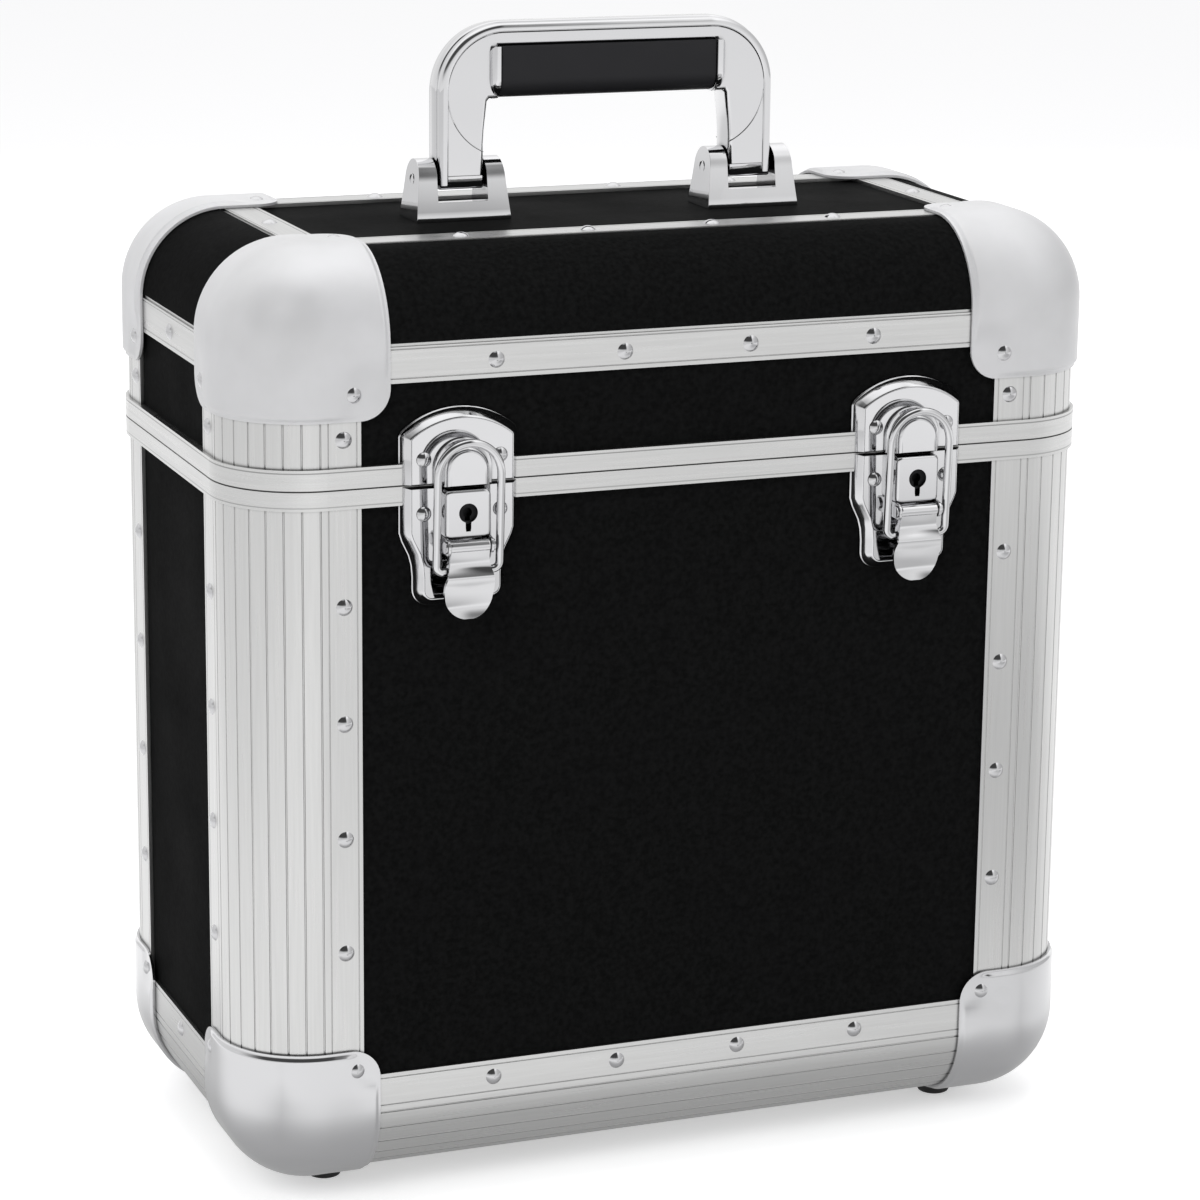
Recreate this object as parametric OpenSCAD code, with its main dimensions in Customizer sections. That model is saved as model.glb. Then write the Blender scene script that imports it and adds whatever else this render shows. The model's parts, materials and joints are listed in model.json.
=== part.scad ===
// Record carrying case: laminate panels held by extruded edge profiles and pressed
// ball corners, with a hinged lid, two toggle latches and a folding handle.
// Millimetres, +Z up. The origin is on the floor under the middle of the outline,
// -Y is the front with the latches, and the lid opens to the rear.

/* [Case] */
// Width of the case between its side faces
case_w = 365; // [320:1:420]
// Depth of the case between its front and back faces
case_d = 190; // [170:1:260]
// Height of the case from its underside to its top face
case_h = 375; // [330:1:430]
// Height of the lid above the parting line
lid_h = 88.3; // [80:0.1:110]
// Radius of all rounded edges
edge_r = 34.5; // [30:0.5:37]
// Thickness of the laminated panels
panel_t = 7; // [5:0.5:8]
// Thickness of the felt lining
lining_t = 3; // [2:0.5:5]

/* [Edge profiles] */
// Width of the flat flange on each side of a rounded edge
flange_w = 14; // [12:0.5:15]
// Wall thickness of a profile
profile_t = 1.5; // [1.2:0.1:2]
// Thickness of the lip that clasps a panel from the inside
lip_t = 1.2; // [0.8:0.1:2]
// Number of flutes round an edge
flutes = 8; // [4:1:10]
// Depth of a flute
flute_depth = 0.4; // [0.2:0.1:0.6]
// Thickness of the laminate inlay in the edges of the lid's top
inlay_t = 1.6; // [1:0.1:2]
// How far the inlay lies below the flanges
inlay_drop = 0.4; // [0.2:0.1:0.8]

/* [Closure frames] */
// Height of the body's closure frame
body_frame_h = 7.4; // [6.5:0.1:10]
// Height of the lid's closure frame
lid_frame_h = 8.3; // [7.5:0.1:10]
// How far the frames stand out from the faces of the case
frame_proud = 1.5; // [1:0.1:2]
// Height of the tongue that locates the lid
tongue_h = 2.5; // [1.5:0.1:2.8]
// Width of the tongue
tongue_w = 2; // [1.5:0.1:2.4]
// Gap between the closed frames
seam_gap = 0.3; // [0.2:0.05:0.5]

/* [Ball corners] */
// Sheet thickness of a ball corner
corner_t = 1.2; // [0.8:0.1:1.6]
// Reach of a top ball corner along the width
top_reach_x = 60; // [56:0.5:64]
// Reach of a top ball corner along the depth
top_reach_y = 55; // [54:0.5:60]
// Reach of a top ball corner down the edge
top_reach_z = 62; // [59:0.5:66]
// Reach of a bottom ball corner along the width
bottom_reach_x = 55; // [54:0.5:62]
// Reach of a bottom ball corner along the depth
bottom_reach_y = 55; // [54:0.5:62]
// Reach of a bottom ball corner up the edge
bottom_reach_z = 60; // [59:0.5:66]
// Radius of the ears' corners
ear_r = 12; // [6:0.5:14]
// Width of the flat rim round the crowned middle
rim_w = 4.5; // [3:0.5:6]
// Height of the crowned middle above the rim
crown_rise = 0.9; // [0.5:0.1:1.5]
// Place of an ear rivet across the edge
ear_rivet_across = 45; // [44:0.5:46]
// Place of an ear rivet along the edge
ear_rivet_along = 51.6; // [51:0.2:52]

/* [Rivets] */
// Radius of a rivet's domed head
rivet_head_r = 3.3; // [2.5:0.1:4]
// Height of a rivet's domed head
rivet_head_h = 1.5; // [1:0.1:2]
// Radius of a rivet's shank
rivet_shank_r = 1.6; // [1.2:0.1:2]
// Height of the lowest rivet of a column above the underside
column_start = 100.8; // [90:0.2:110]
// Distance of the highest rivet of a column below the seam
column_drop = 46.1; // [30:0.1:60]
// Rivets in each column of the body
column_count = 4; // [2:1:6]
// Height of the single rivet beside the seam, above the seam
lid_column_rise = 19.3; // [16:0.1:22]
// Pitch of the rivets along the long strips
strip_pitch = 53; // [48:0.5:60]

/* [Feet] */
// Height of the case's underside above the floor
foot_h = 8; // [5:0.5:12]
// Radius of a rubber foot at the floor
foot_r = 7; // [5:0.5:9]
// Place of a foot from the side face
foot_in_x = 45.5; // [43:0.5:50]
// Place of a foot from the front or back face
foot_in_y = 42.5; // [42:0.5:43]

/* [Handle] */
// Spacing of the two handle feet
handle_span = 126; // [106:1:150]
// Height of the handle's top above the top face of the case
handle_top = 77; // [65:0.5:100]
// Depth of the handle's section
handle_d = 15; // [12:0.5:18]
// Width of a leg at its lower end
leg_w = 19.5; // [14:0.5:22]
// Width of a leg beside the grip
leg_top_w = 26; // [20:0.5:30]
// Radius of the handle's outer corners
handle_r = 28; // [18:0.5:32]
// Thickness of the bar above the grip
bar_t = 9.5; // [7:0.5:12]
// Height of the grip below the bar
grip_h = 21; // [16:0.5:26]
// Height of the handle's pivot above the top face
pivot_h = 14.5; // [12:0.5:18]
// Width of a handle foot at its base
hfoot_w = 40; // [38:0.5:50]
// Depth of a handle foot at its base
hfoot_d = 22; // [18:0.5:26]
// Height of a handle foot
hfoot_h = 23; // [20:0.5:28]
// Gap beside a leg in its foot
leg_gap = 0.8; // [0.8:0.1:2.5]
// Height of the wall below the slot
hfoot_sill = 6.2; // [4:0.2:6.4]
// Radius of the handle's pins
hpin_r = 2; // [1.5:0.1:2.5]

/* [Latches] */
// Distance of the middle of each latch from the side face
latch_in = 87.5; // [75:0.5:130]
// Width of the latch plates
plate_w = 46; // [42:0.5:56]
// Width of the lower part of the body plate
plate_foot_w = 36; // [32:0.5:46]
// Length of the body plate below the seam
plate_down = 46.7; // [44:0.1:60]
// Height of the lid plate's arched top above the seam
plate_up = 28.3; // [24:0.1:32]
// Height of the lid plate's shoulders above the seam
plate_shoulder = 19.3; // [17:0.1:22]
// How far the plates stand out from the face of the case
plate_proud = 5; // [4:0.1:7]
// Sheet thickness of the plates
plate_t = 1.2; // [0.8:0.1:1.6]
// Width of the catch and of the lock housing
boss_w = 18.7; // [17:0.1:20]
// Height of the catch above the seam
catch_h = 16; // [14:0.1:18]
// Depth of the lock housing in front of its plate
boss_d = 7; // [6:0.1:8]
// Radius of the bail's wire
wire_r = 1.6; // [1.2:0.05:1.8]
// Gap between the bail and the catch
bail_gap = 0.3; // [0.2:0.05:0.6]
// Depth of the lever's pivot below the seam
lever_drop = 22.5; // [22:0.1:26]
// Length of the lever from its pivot to its tip
lever_len = 31.2; // [28:0.1:36]
// Distance of the bail's pivot below the lever's pivot
bail_arm = 10; // [9:0.1:11]
// Radius of the lever's pivot pin
lpin_r = 1.5; // [1:0.1:1.7]

/* [Rear hinges] */
// Distance of the middle of each hinge from the side face
hinge_in = 87.5; // [75:0.5:130]
// Length of a hinge knuckle
knuckle_l = 9; // [6:0.5:12]
// Radius of the knuckles
knuckle_r = 3; // [2.6:0.1:4]
// Radius of the hinge pins
hinge_pin_r = 1.5; // [1:0.1:1.8]
// Height of a hinge leaf
leaf_h = 32; // [26:0.5:40]

/* [Fits] */
// Radial clearance of pins and shafts that turn
run_gap = 0.05; // [0.02:0.01:0.1]
// Gap between pieces that pass each other
side_gap = 0.3; // [0.2:0.05:0.6]

/* [Hidden] */
$fn = 48;

ALUMINIUM = [0.80, 0.80, 0.81];
LAMINATE = [0.05, 0.05, 0.05];
CHROME = [0.86, 0.87, 0.89];
STEEL = [0.62, 0.63, 0.65];
RUBBER = [0.10, 0.10, 0.10];
FELT = [0.16, 0.16, 0.17];

LEFT = -1;
RIGHT = 1;
FRONT = -1;
BACK = 1;
LOW = -1;
HIGH = 1;

// Half sizes, and the depth of the channel in which a profile holds a panel
half_w = case_w / 2;
half_d = case_d / 2;
seam_h = case_h - lid_h;
latch_x = half_w - latch_in;
hinge_x = half_w - hinge_in;
column_pitch = (seam_h - column_drop - column_start) / (column_count - 1);
channel_d = profile_t + panel_t + lip_t;
// Distance from a face to the far edge of a flange, and to its middle
flange_end = edge_r + flange_w;
flange_mid = edge_r + flange_w / 2;
// Panels run between the webs that stand where the rounding begins
panel_half_w = half_w - edge_r;
panel_half_d = half_d - edge_r;
panel_seat = 5;
body_frame_z = seam_h - body_frame_h;
lid_frame_z = seam_h + lid_frame_h + seam_gap;
lining_off = channel_d + 1;

// Latch: the plate's front face, the boss faces, the lever pin and the bail's ends,
// as distances in front of the case's face
boss_out = plate_proud + boss_d;
cheek_t = 1.2;
ear_t = 1.2;
lpin_out = boss_out + 1;
bail_in = 1.5;
bail_half_w = boss_w / 2 + wire_r + 1.85;
bail_top = catch_h + bail_gap + wire_r;
bail_top_out = boss_out + 0.4 + wire_r;
bail_low_out = lpin_out - bail_in;
bail_low = -lever_drop - bail_arm;
bail_len = norm([bail_top_out - bail_low_out, bail_top - bail_low]);
bail_tilt = atan((bail_top_out - bail_low_out) / (bail_top - bail_low));
lever_r = 8.3;
lever_t = 1.2;
curl_r = lpin_r + 0.9;

// Rear hinge: the pin stands clear of the frames at the height of the seam
hinge_out = frame_proud + knuckle_r + side_gap;
hinge_z = seam_h + seam_gap / 2;
leaf_t = 1.5;

// The outline reaches further in front, over the levers, than behind
lever_tip_out = lpin_out + 3.2;
case_y = (lever_tip_out - hinge_out - knuckle_r) / 2;

// ---- Placing ----

// Everything is drawn from the case's underside and its middle
module placed()
    translate([0, case_y, foot_h])
        children();

// A corner of the case: the origin is where three faces would meet, and the case lies
// towards +X, +Y and +Z
module at_corner(side, end, level)
    translate([side * half_w, end * half_d, level > 0 ? case_h : 0])
        mirror([side > 0 ? 1 : 0, 0, 0])
            mirror([0, end > 0 ? 1 : 0, 0])
                mirror([0, 0, level > 0 ? 1 : 0])
                    children();

// Stands a shape that rises along +Z on a face, pointing out of the case
module facing_y(x, z) translate([x, 0, z]) rotate([90, 0, 0]) children();
module facing_x(y, z) translate([0, y, z]) rotate([0, -90, 0]) children();
module facing_z(x, y) translate([x, y, 0]) rotate([180, 0, 0]) children();

// ---- Rivets ----

tail_h = 0.7;
tail_r = rivet_shank_r + 0.9;

// A rivet whose shank passes flange, panel and lip and is spread behind the lip
module rivet(lift, head_r = rivet_head_r)
{
    ball_r = (pow(head_r, 2) + pow(rivet_head_h, 2)) / (2 * rivet_head_h);
    intersection() {
        translate([0, 0, lift + rivet_head_h - ball_r]) sphere(ball_r);
        translate([0, 0, lift]) cylinder(r = head_r + 1, h = rivet_head_h + 1);
    }
    translate([0, 0, -channel_d]) cylinder(r = rivet_shank_r, h = channel_d + lift);
    translate([0, 0, -channel_d - tail_h]) cylinder(r = tail_r, h = tail_h);
}

module rivet_hole()
    translate([0, 0, -channel_d - 2])
        cylinder(r = rivet_shank_r + run_gap, h = channel_d + plate_proud + 4);

module rivet_or_hole(hole, lift = 0)
    if (hole) rivet_hole(); else rivet(lift);

// The rivets of one corner of the body, on its front or back face
module body_y_rivets(hole)
{
    for (row = [0 : column_count - 1])
        facing_y(flange_mid, column_start + row * column_pitch) rivet_or_hole(hole);
    for (place = [0.5, 1.5])
        facing_y(half_w - place * strip_pitch, flange_mid) rivet_or_hole(hole);
    facing_y(ear_rivet_across, ear_rivet_along) rivet_or_hole(hole, corner_t);
}

// The same on a side face, without the strip's middle rivet
module body_x_rivets(hole)
{
    for (row = [0 : column_count - 1])
        facing_x(flange_mid, column_start + row * column_pitch) rivet_or_hole(hole);
    facing_x(ear_rivet_across, ear_rivet_along) rivet_or_hole(hole, corner_t);
}

// On the underside the feet take the place of the ears' rivets
module body_z_rivets(hole)
    for (place = [0.5, 1.5])
        facing_z(half_w - place * strip_pitch, flange_mid) rivet_or_hole(hole);

// The middle rivets of the side strips, seen from a bottom or top corner
module side_strip_rivets(hole)
{
    facing_x(half_d, flange_mid) rivet_or_hole(hole);
    facing_z(flange_mid, half_d) rivet_or_hole(hole);
}

// The rivets of one corner of the lid, with heights counted down from the top face. The
// top ears' rivets pass the flanges of the front and back profiles
lid_column = lid_h - lid_column_rise;
top_rivet_in = flange_mid + 1;

module lid_y_rivets(hole)
{
    facing_y(flange_mid, lid_column) rivet_or_hole(hole);
    for (place = [0.5, 1.5])
        facing_y(half_w - place * strip_pitch, flange_mid) rivet_or_hole(hole);
    facing_y(ear_rivet_across, ear_rivet_along) rivet_or_hole(hole, corner_t);
}

module lid_x_rivets(hole)
{
    facing_x(flange_mid, lid_column) rivet_or_hole(hole);
    facing_x(ear_rivet_across, ear_rivet_along) rivet_or_hole(hole, corner_t);
}

module lid_z_rivets(hole)
{
    for (place = [0.5, 1.5])
        facing_z(half_w - place * strip_pitch, flange_mid) rivet_or_hole(hole);
    facing_z(ear_rivet_along, top_rivet_in) rivet_or_hole(hole, corner_t);
}

// ---- Sections and shells ----

// Quarter of a ring round the axis of a rounded edge, in the corner's own quadrant
module quarter_ring(r_out, r_in)
    translate([edge_r, edge_r])
        intersection() {
            difference() {
                circle(r_out);
                circle(r_in);
            }
            translate([-r_out, -r_out]) square(r_out);
        }

module swapped()
{
    children();
    mirror([1, -1]) children();
}

line_in = 1.8;
line_r = 0.25;

// Angle of the first flute from the flat flange
flute_first = 3.7;
flute_pitch = (90 - 2 * flute_first) / (flutes - 1);

// Section of an edge profile: rounded outer wall, inner wall, two webs, and on each
// side a flange and a lip that clasp the edge of a panel
module profile_section(outer_r, fluted)
    difference() {
        union() {
            quarter_ring(outer_r, outer_r - profile_t);
            quarter_ring(edge_r - channel_d + lip_t, edge_r - channel_d);
            swapped() {
                translate([profile_t / 2, edge_r - lip_t])
                    square([channel_d - profile_t / 2, lip_t]);
                translate([0, edge_r]) square([profile_t, flange_w]);
                translate([channel_d - lip_t, edge_r]) square([lip_t, flange_w]);
            }
        }
        if (fluted)
            for (flute = [0 : flutes - 1])
                translate([edge_r, edge_r])
                    rotate(180 + flute_first + flute * flute_pitch)
                        translate([edge_r, 0]) circle(flute_depth, $fn = 16);
        // Fine lines along both edges of a flange
        swapped()
            for (line = [edge_r + line_in / 2, flange_end - line_in])
                translate([0, line]) circle(line_r, $fn = 16);
    }

// The curved laminate that lies in an edge of the lid's top
inlay_r = edge_r - inlay_drop;

module inlay_section()
    intersection() {
        quarter_ring(inlay_r, inlay_r - inlay_t);
        square(edge_r - lip_t - 0.1);
    }

// Runs a section along X or Y under the middle of an edge, from the corner quadrant
module run_x(length)
    translate([-length / 2, 0, 0]) rotate([90, 0, 90]) linear_extrude(length) children();

module run_y(length)
    translate([0, length / 2, 0]) rotate([90, 0, 0]) linear_extrude(length) children();

// Rectangle from the origin with one corner rounded or square, in pieces that meet on
// straight lines
module ear_shape(a, b, r)
    if (r > 0) {
        square([a - r, b]);
        translate([a - r, 0]) square([r, b - r]);
        translate([a - r, b - r])
            intersection() {
                circle(r);
                square(r);
            }
    } else {
        square([a, b]);
    }

// Shell round a rounded corner of the case between two radii about the corner's centre:
// an eighth of a ball, three quarter tubes along the edges and three flat ears
module corner_shell(r_out, r_in, reach, ear_corner)
{
    skin = r_out - r_in;
    out = edge_r - r_out;
    span = reach - [edge_r, edge_r, edge_r];
    translate([edge_r, edge_r, edge_r])
        intersection() {
            difference() {
                sphere(r_out);
                sphere(r_in);
            }
            translate([-r_out, -r_out, -r_out]) cube(r_out);
        }
    translate([0, 0, edge_r]) linear_extrude(span.z) quarter_ring(r_out, r_in);
    translate([edge_r, 0, 0]) rotate([90, 0, 90]) linear_extrude(span.x) quarter_ring(r_out, r_in);
    translate([0, reach.y, 0]) rotate([90, 0, 0]) linear_extrude(span.y) quarter_ring(r_out, r_in);
    translate([edge_r, edge_r, out])
        linear_extrude(skin) ear_shape(span.x, span.y, ear_corner);
    translate([out, edge_r, edge_r]) rotate([90, 0, 90])
        linear_extrude(skin) ear_shape(span.y, span.z, ear_corner);
    translate([edge_r, out + skin, edge_r]) rotate([90, 0, 0])
        linear_extrude(skin) ear_shape(span.x, span.z, ear_corner);
}

// Flat landing round an ear's rivet
module landing() translate([0, 0, corner_t]) cylinder(r = rivet_head_r + 2.2, h = 2 * crown_rise);

// Pressed ball corner: a thin skin with a crowned middle inside a flat rim
module ball_corner(reach)
{
    rim = [rim_w, rim_w, rim_w];
    corner_shell(edge_r + corner_t, edge_r, reach, ear_r);
    difference() {
        corner_shell(edge_r + corner_t + crown_rise, edge_r + corner_t / 2, reach - rim, ear_r - rim_w);
        facing_y(ear_rivet_across, ear_rivet_along) landing();
        facing_x(ear_rivet_across, ear_rivet_along) landing();
    }
}

// Rectangle with rounded corners about the middle of the case, in meeting pieces
module case_outline(inset)
{
    r = edge_r - inset;
    translate([-half_w + edge_r, -half_d + inset]) square([case_w - 2 * edge_r, case_d - 2 * inset]);
    for (side = [LEFT, RIGHT])
        translate([side > 0 ? half_w - edge_r : inset - half_w, edge_r - half_d])
            square([r, case_d - 2 * edge_r]);
    for (side = [LEFT, RIGHT], end = [FRONT, BACK])
        translate([side * (half_w - edge_r), end * (half_d - edge_r)])
            intersection() {
                circle(r);
                mirror([side < 0 ? 1 : 0, 0]) mirror([0, end < 0 ? 1 : 0]) square(r);
            }
}

module case_ring(outer_inset, inner_inset)
    difference() {
        case_outline(outer_inset);
        case_outline(inner_inset);
    }

// ---- Body: panels ----

module wall_x(half, low, high)
    translate([profile_t, -half, low]) cube([panel_t, 2 * half, high - low]);

module wall_y(half, low, high)
    translate([-half, profile_t, low]) cube([2 * half, panel_t, high - low]);

body_panel_top = body_frame_z + panel_seat;

module body_wall_y(end)
    color(LAMINATE) placed()
        difference() {
            mirror([0, end > 0 ? 1 : 0, 0]) translate([0, -half_d, 0])
                wall_y(panel_half_w, edge_r, body_panel_top);
            for (side = [LEFT, RIGHT]) at_corner(side, end, LOW) body_y_rivets(true);
            if (end == FRONT) latch_rivets(LOW, true);
            if (end == BACK) leaf_rivets(LOW, true);
        }

module body_wall_x(side)
    color(LAMINATE) placed()
        difference() {
            mirror([side > 0 ? 1 : 0, 0, 0]) translate([-half_w, 0, 0])
                wall_x(panel_half_d, edge_r, body_panel_top);
            for (end = [FRONT, BACK]) at_corner(side, end, LOW) body_x_rivets(true);
            at_corner(side, FRONT, LOW) side_strip_rivets(true);
        }

module front_panel() body_wall_y(FRONT);
module back_panel() body_wall_y(BACK);
module left_panel() body_wall_x(LEFT);
module right_panel() body_wall_x(RIGHT);

module base_panel()
    color(LAMINATE) placed()
        difference() {
            translate([-panel_half_w, -panel_half_d, profile_t])
                cube([2 * panel_half_w, 2 * panel_half_d, panel_t]);
            for (side = [LEFT, RIGHT], end = [FRONT, BACK])
                at_corner(side, end, LOW) {
                    body_z_rivets(true);
                    foot_screw_hole();
                }
            for (side = [LEFT, RIGHT]) at_corner(side, FRONT, LOW) side_strip_rivets(true);
        }

// ---- Body: profiles, corners and closure frame ----

module corner_profile(side, end)
    color(ALUMINIUM) placed()
        at_corner(side, end, LOW)
            difference() {
                translate([0, 0, flange_end])
                    linear_extrude(body_frame_z - flange_end) profile_section(edge_r, true);
                body_y_rivets(true);
                body_x_rivets(true);
            }

module corner_profile_front_left() corner_profile(LEFT, FRONT);
module corner_profile_front_right() corner_profile(RIGHT, FRONT);
module corner_profile_back_left() corner_profile(LEFT, BACK);
module corner_profile_back_right() corner_profile(RIGHT, BACK);

module bottom_profile_y(end)
    color(ALUMINIUM) placed()
        difference() {
            mirror([0, end > 0 ? 1 : 0, 0]) translate([0, -half_d, 0])
                run_x(2 * panel_half_w) profile_section(edge_r, true);
            for (side = [LEFT, RIGHT])
                at_corner(side, end, LOW) {
                    body_y_rivets(true);
                    body_z_rivets(true);
                    foot_screw_hole();
                }
        }

module bottom_profile_x(side)
    color(ALUMINIUM) placed()
        difference() {
            mirror([side > 0 ? 1 : 0, 0, 0]) translate([-half_w, 0, 0])
                run_y(case_d - 2 * flange_end) profile_section(edge_r, true);
            at_corner(side, FRONT, LOW) side_strip_rivets(true);
        }

module bottom_profile_front() bottom_profile_y(FRONT);
module bottom_profile_back() bottom_profile_y(BACK);
module bottom_profile_left() bottom_profile_x(LEFT);
module bottom_profile_right() bottom_profile_x(RIGHT);

module bottom_corner(side, end)
    color(CHROME) placed()
        at_corner(side, end, LOW)
            difference() {
                ball_corner([bottom_reach_x, bottom_reach_y, bottom_reach_z]);
                facing_y(ear_rivet_across, ear_rivet_along) rivet_hole();
                facing_x(ear_rivet_across, ear_rivet_along) rivet_hole();
                foot_screw_hole();
                translate([foot_in_x, foot_in_y, -corner_t - 2 * crown_rise])
                    cylinder(r = foot_r + foot_lip + side_gap, h = 2 * crown_rise);
            }

module bottom_corner_front_left() bottom_corner(LEFT, FRONT);
module bottom_corner_front_right() bottom_corner(RIGHT, FRONT);
module bottom_corner_back_left() bottom_corner(LEFT, BACK);
module bottom_corner_back_right() bottom_corner(RIGHT, BACK);

// Channels for the edges of the four walls
module panel_channels(low, high)
    for (end = [FRONT, BACK], side = [LEFT, RIGHT]) {
        mirror([0, end > 0 ? 1 : 0, 0]) translate([0, -half_d, 0]) wall_y(panel_half_w, low, high);
        mirror([side > 0 ? 1 : 0, 0, 0]) translate([-half_w, 0, 0]) wall_x(panel_half_d, low, high);
    }

// The tongue lies midway between the outside of the frame and its inside
tongue_in = (channel_d - frame_proud - tongue_w) / 2 - 1;
tongue_gap = 0.6;

module body_closure_frame()
    color(ALUMINIUM) placed() {
        difference() {
            translate([0, 0, body_frame_z]) linear_extrude(body_frame_h) case_ring(-frame_proud, channel_d);
            panel_channels(body_frame_z - 1, body_panel_top);
        }
        translate([0, 0, seam_h]) linear_extrude(tongue_h) case_ring(tongue_in, tongue_in + tongue_w);
    }

module body_lining()
    color(FELT) placed()
        for (side = [LEFT, RIGHT], end = [FRONT, BACK])
            at_corner(side, end, LOW)
                corner_shell(edge_r - lining_off, edge_r - lining_off - lining_t,
                    [half_w, half_d, body_frame_z], 0);

module body_rivets()
    color(STEEL) placed() {
        for (side = [LEFT, RIGHT], end = [FRONT, BACK])
            at_corner(side, end, LOW) {
                body_y_rivets(false);
                body_x_rivets(false);
                body_z_rivets(false);
            }
        for (side = [LEFT, RIGHT]) at_corner(side, FRONT, LOW) side_strip_rivets(false);
        latch_rivets(LOW, false);
        leaf_rivets(LOW, false);
    }

// ---- Feet ----

screw_r = 1.8;
screw_head_r = 3.4;
screw_head_h = 1.6;
foot_recess = 2.6;
foot_lip = 0.8;
foot_lip_h = 2;

module foot_screw_hole()
    translate([foot_in_x, foot_in_y, -foot_h - 1])
        cylinder(r = screw_r + run_gap, h = foot_h + channel_d - 1);

module rubber_feet()
    color(RUBBER) placed()
        for (side = [LEFT, RIGHT], end = [FRONT, BACK])
            at_corner(side, end, LOW)
                difference() {
                    translate([foot_in_x, foot_in_y, -foot_h]) {
                        cylinder(r = foot_r, h = foot_h - corner_t - foot_lip_h);
                        translate([0, 0, foot_h - corner_t - foot_lip_h])
                            cylinder(r = foot_r + foot_lip, h = foot_lip_h);
                    }
                    foot_screw_hole();
                    translate([foot_in_x, foot_in_y, -foot_h - 1])
                        cylinder(r = screw_head_r + side_gap, h = foot_recess + 1);
                }

module foot_screws()
    color(STEEL) placed()
        for (side = [LEFT, RIGHT], end = [FRONT, BACK])
            at_corner(side, end, LOW)
                translate([foot_in_x, foot_in_y, -foot_h + foot_recess]) {
                    cylinder(r = screw_r, h = foot_h - foot_recess + channel_d - lip_t - 2);
                    difference() {
                        translate([0, 0, -screw_head_h]) cylinder(r = screw_head_r, h = screw_head_h);
                        for (turn = [0, 90])
                            rotate(turn) translate([-2, -0.4, -2]) cube([4, 0.8, 1.4]);
                    }
                }

// ---- Lid ----

lid_panel_low = lid_frame_z - panel_seat + 1.5;

module lid_wall_y(end)
    color(LAMINATE) placed()
        difference() {
            mirror([0, end > 0 ? 1 : 0, 0]) translate([0, -half_d, 0])
                wall_y(panel_half_w, lid_panel_low, case_h - edge_r);
            for (side = [LEFT, RIGHT]) at_corner(side, end, HIGH) lid_y_rivets(true);
            if (end == FRONT) latch_rivets(HIGH, true);
            if (end == BACK) leaf_rivets(HIGH, true);
        }

module lid_wall_x(side)
    color(LAMINATE) placed()
        difference() {
            mirror([side > 0 ? 1 : 0, 0, 0]) translate([-half_w, 0, 0])
                wall_x(panel_half_d, lid_panel_low, case_h - edge_r);
            for (end = [FRONT, BACK]) at_corner(side, end, HIGH) lid_x_rivets(true);
            at_corner(side, FRONT, HIGH) side_strip_rivets(true);
        }

module lid_front_panel() lid_wall_y(FRONT);
module lid_back_panel() lid_wall_y(BACK);
module lid_left_panel() lid_wall_x(LEFT);
module lid_right_panel() lid_wall_x(RIGHT);

module top_panel()
    color(LAMINATE) placed()
        difference() {
            translate([-panel_half_w, -panel_half_d, case_h - profile_t - panel_t])
                cube([2 * panel_half_w, 2 * panel_half_d, panel_t]);
            for (side = [LEFT, RIGHT], end = [FRONT, BACK]) at_corner(side, end, HIGH) lid_z_rivets(true);
            for (side = [LEFT, RIGHT]) at_corner(side, FRONT, HIGH) side_strip_rivets(true);
        }

module top_profile_y(end)
    color(ALUMINIUM) placed()
        difference() {
            translate([0, 0, case_h]) mirror([0, 0, 1])
                mirror([0, end > 0 ? 1 : 0, 0]) translate([0, -half_d, 0])
                    run_x(2 * panel_half_w) profile_section(inlay_r - inlay_t, false);
            for (side = [LEFT, RIGHT])
                at_corner(side, end, HIGH) {
                    lid_y_rivets(true);
                    lid_z_rivets(true);
                }
        }

module top_profile_x(side)
    color(ALUMINIUM) placed()
        difference() {
            translate([0, 0, case_h]) mirror([0, 0, 1])
                mirror([side > 0 ? 1 : 0, 0, 0]) translate([-half_w, 0, 0])
                    run_y(case_d - 2 * flange_end) profile_section(inlay_r - inlay_t, false);
            at_corner(side, FRONT, HIGH) side_strip_rivets(true);
        }

module top_profile_front() top_profile_y(FRONT);
module top_profile_back() top_profile_y(BACK);
module top_profile_left() top_profile_x(LEFT);
module top_profile_right() top_profile_x(RIGHT);

module edge_inlays()
    color(LAMINATE) placed()
        translate([0, 0, case_h]) mirror([0, 0, 1]) {
            for (end = [0, 1])
                mirror([0, end, 0]) translate([0, -half_d, 0]) run_x(2 * panel_half_w) inlay_section();
            for (side = [0, 1])
                mirror([side, 0, 0]) translate([-half_w, 0, 0])
                    run_y(case_d - 2 * flange_end) inlay_section();
        }

module lid_corner_profiles()
    color(ALUMINIUM) placed()
        for (side = [LEFT, RIGHT], end = [FRONT, BACK])
            at_corner(side, end, HIGH)
                difference() {
                    translate([0, 0, flange_end])
                        linear_extrude(case_h - flange_end - lid_frame_z) profile_section(edge_r, true);
                    lid_y_rivets(true);
                    lid_x_rivets(true);
                }

module top_corner(side, end)
    color(ALUMINIUM) placed()
        at_corner(side, end, HIGH)
            difference() {
                ball_corner([top_reach_x, top_reach_y, top_reach_z]);
                facing_y(ear_rivet_across, ear_rivet_along) rivet_hole();
                facing_x(ear_rivet_across, ear_rivet_along) rivet_hole();
                facing_z(ear_rivet_along, top_rivet_in) rivet_hole();
                facing_z(ear_rivet_along, top_rivet_in) landing();
            }

module top_corner_front_left() top_corner(LEFT, FRONT);
module top_corner_front_right() top_corner(RIGHT, FRONT);
module top_corner_back_left() top_corner(LEFT, BACK);
module top_corner_back_right() top_corner(RIGHT, BACK);

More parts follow.
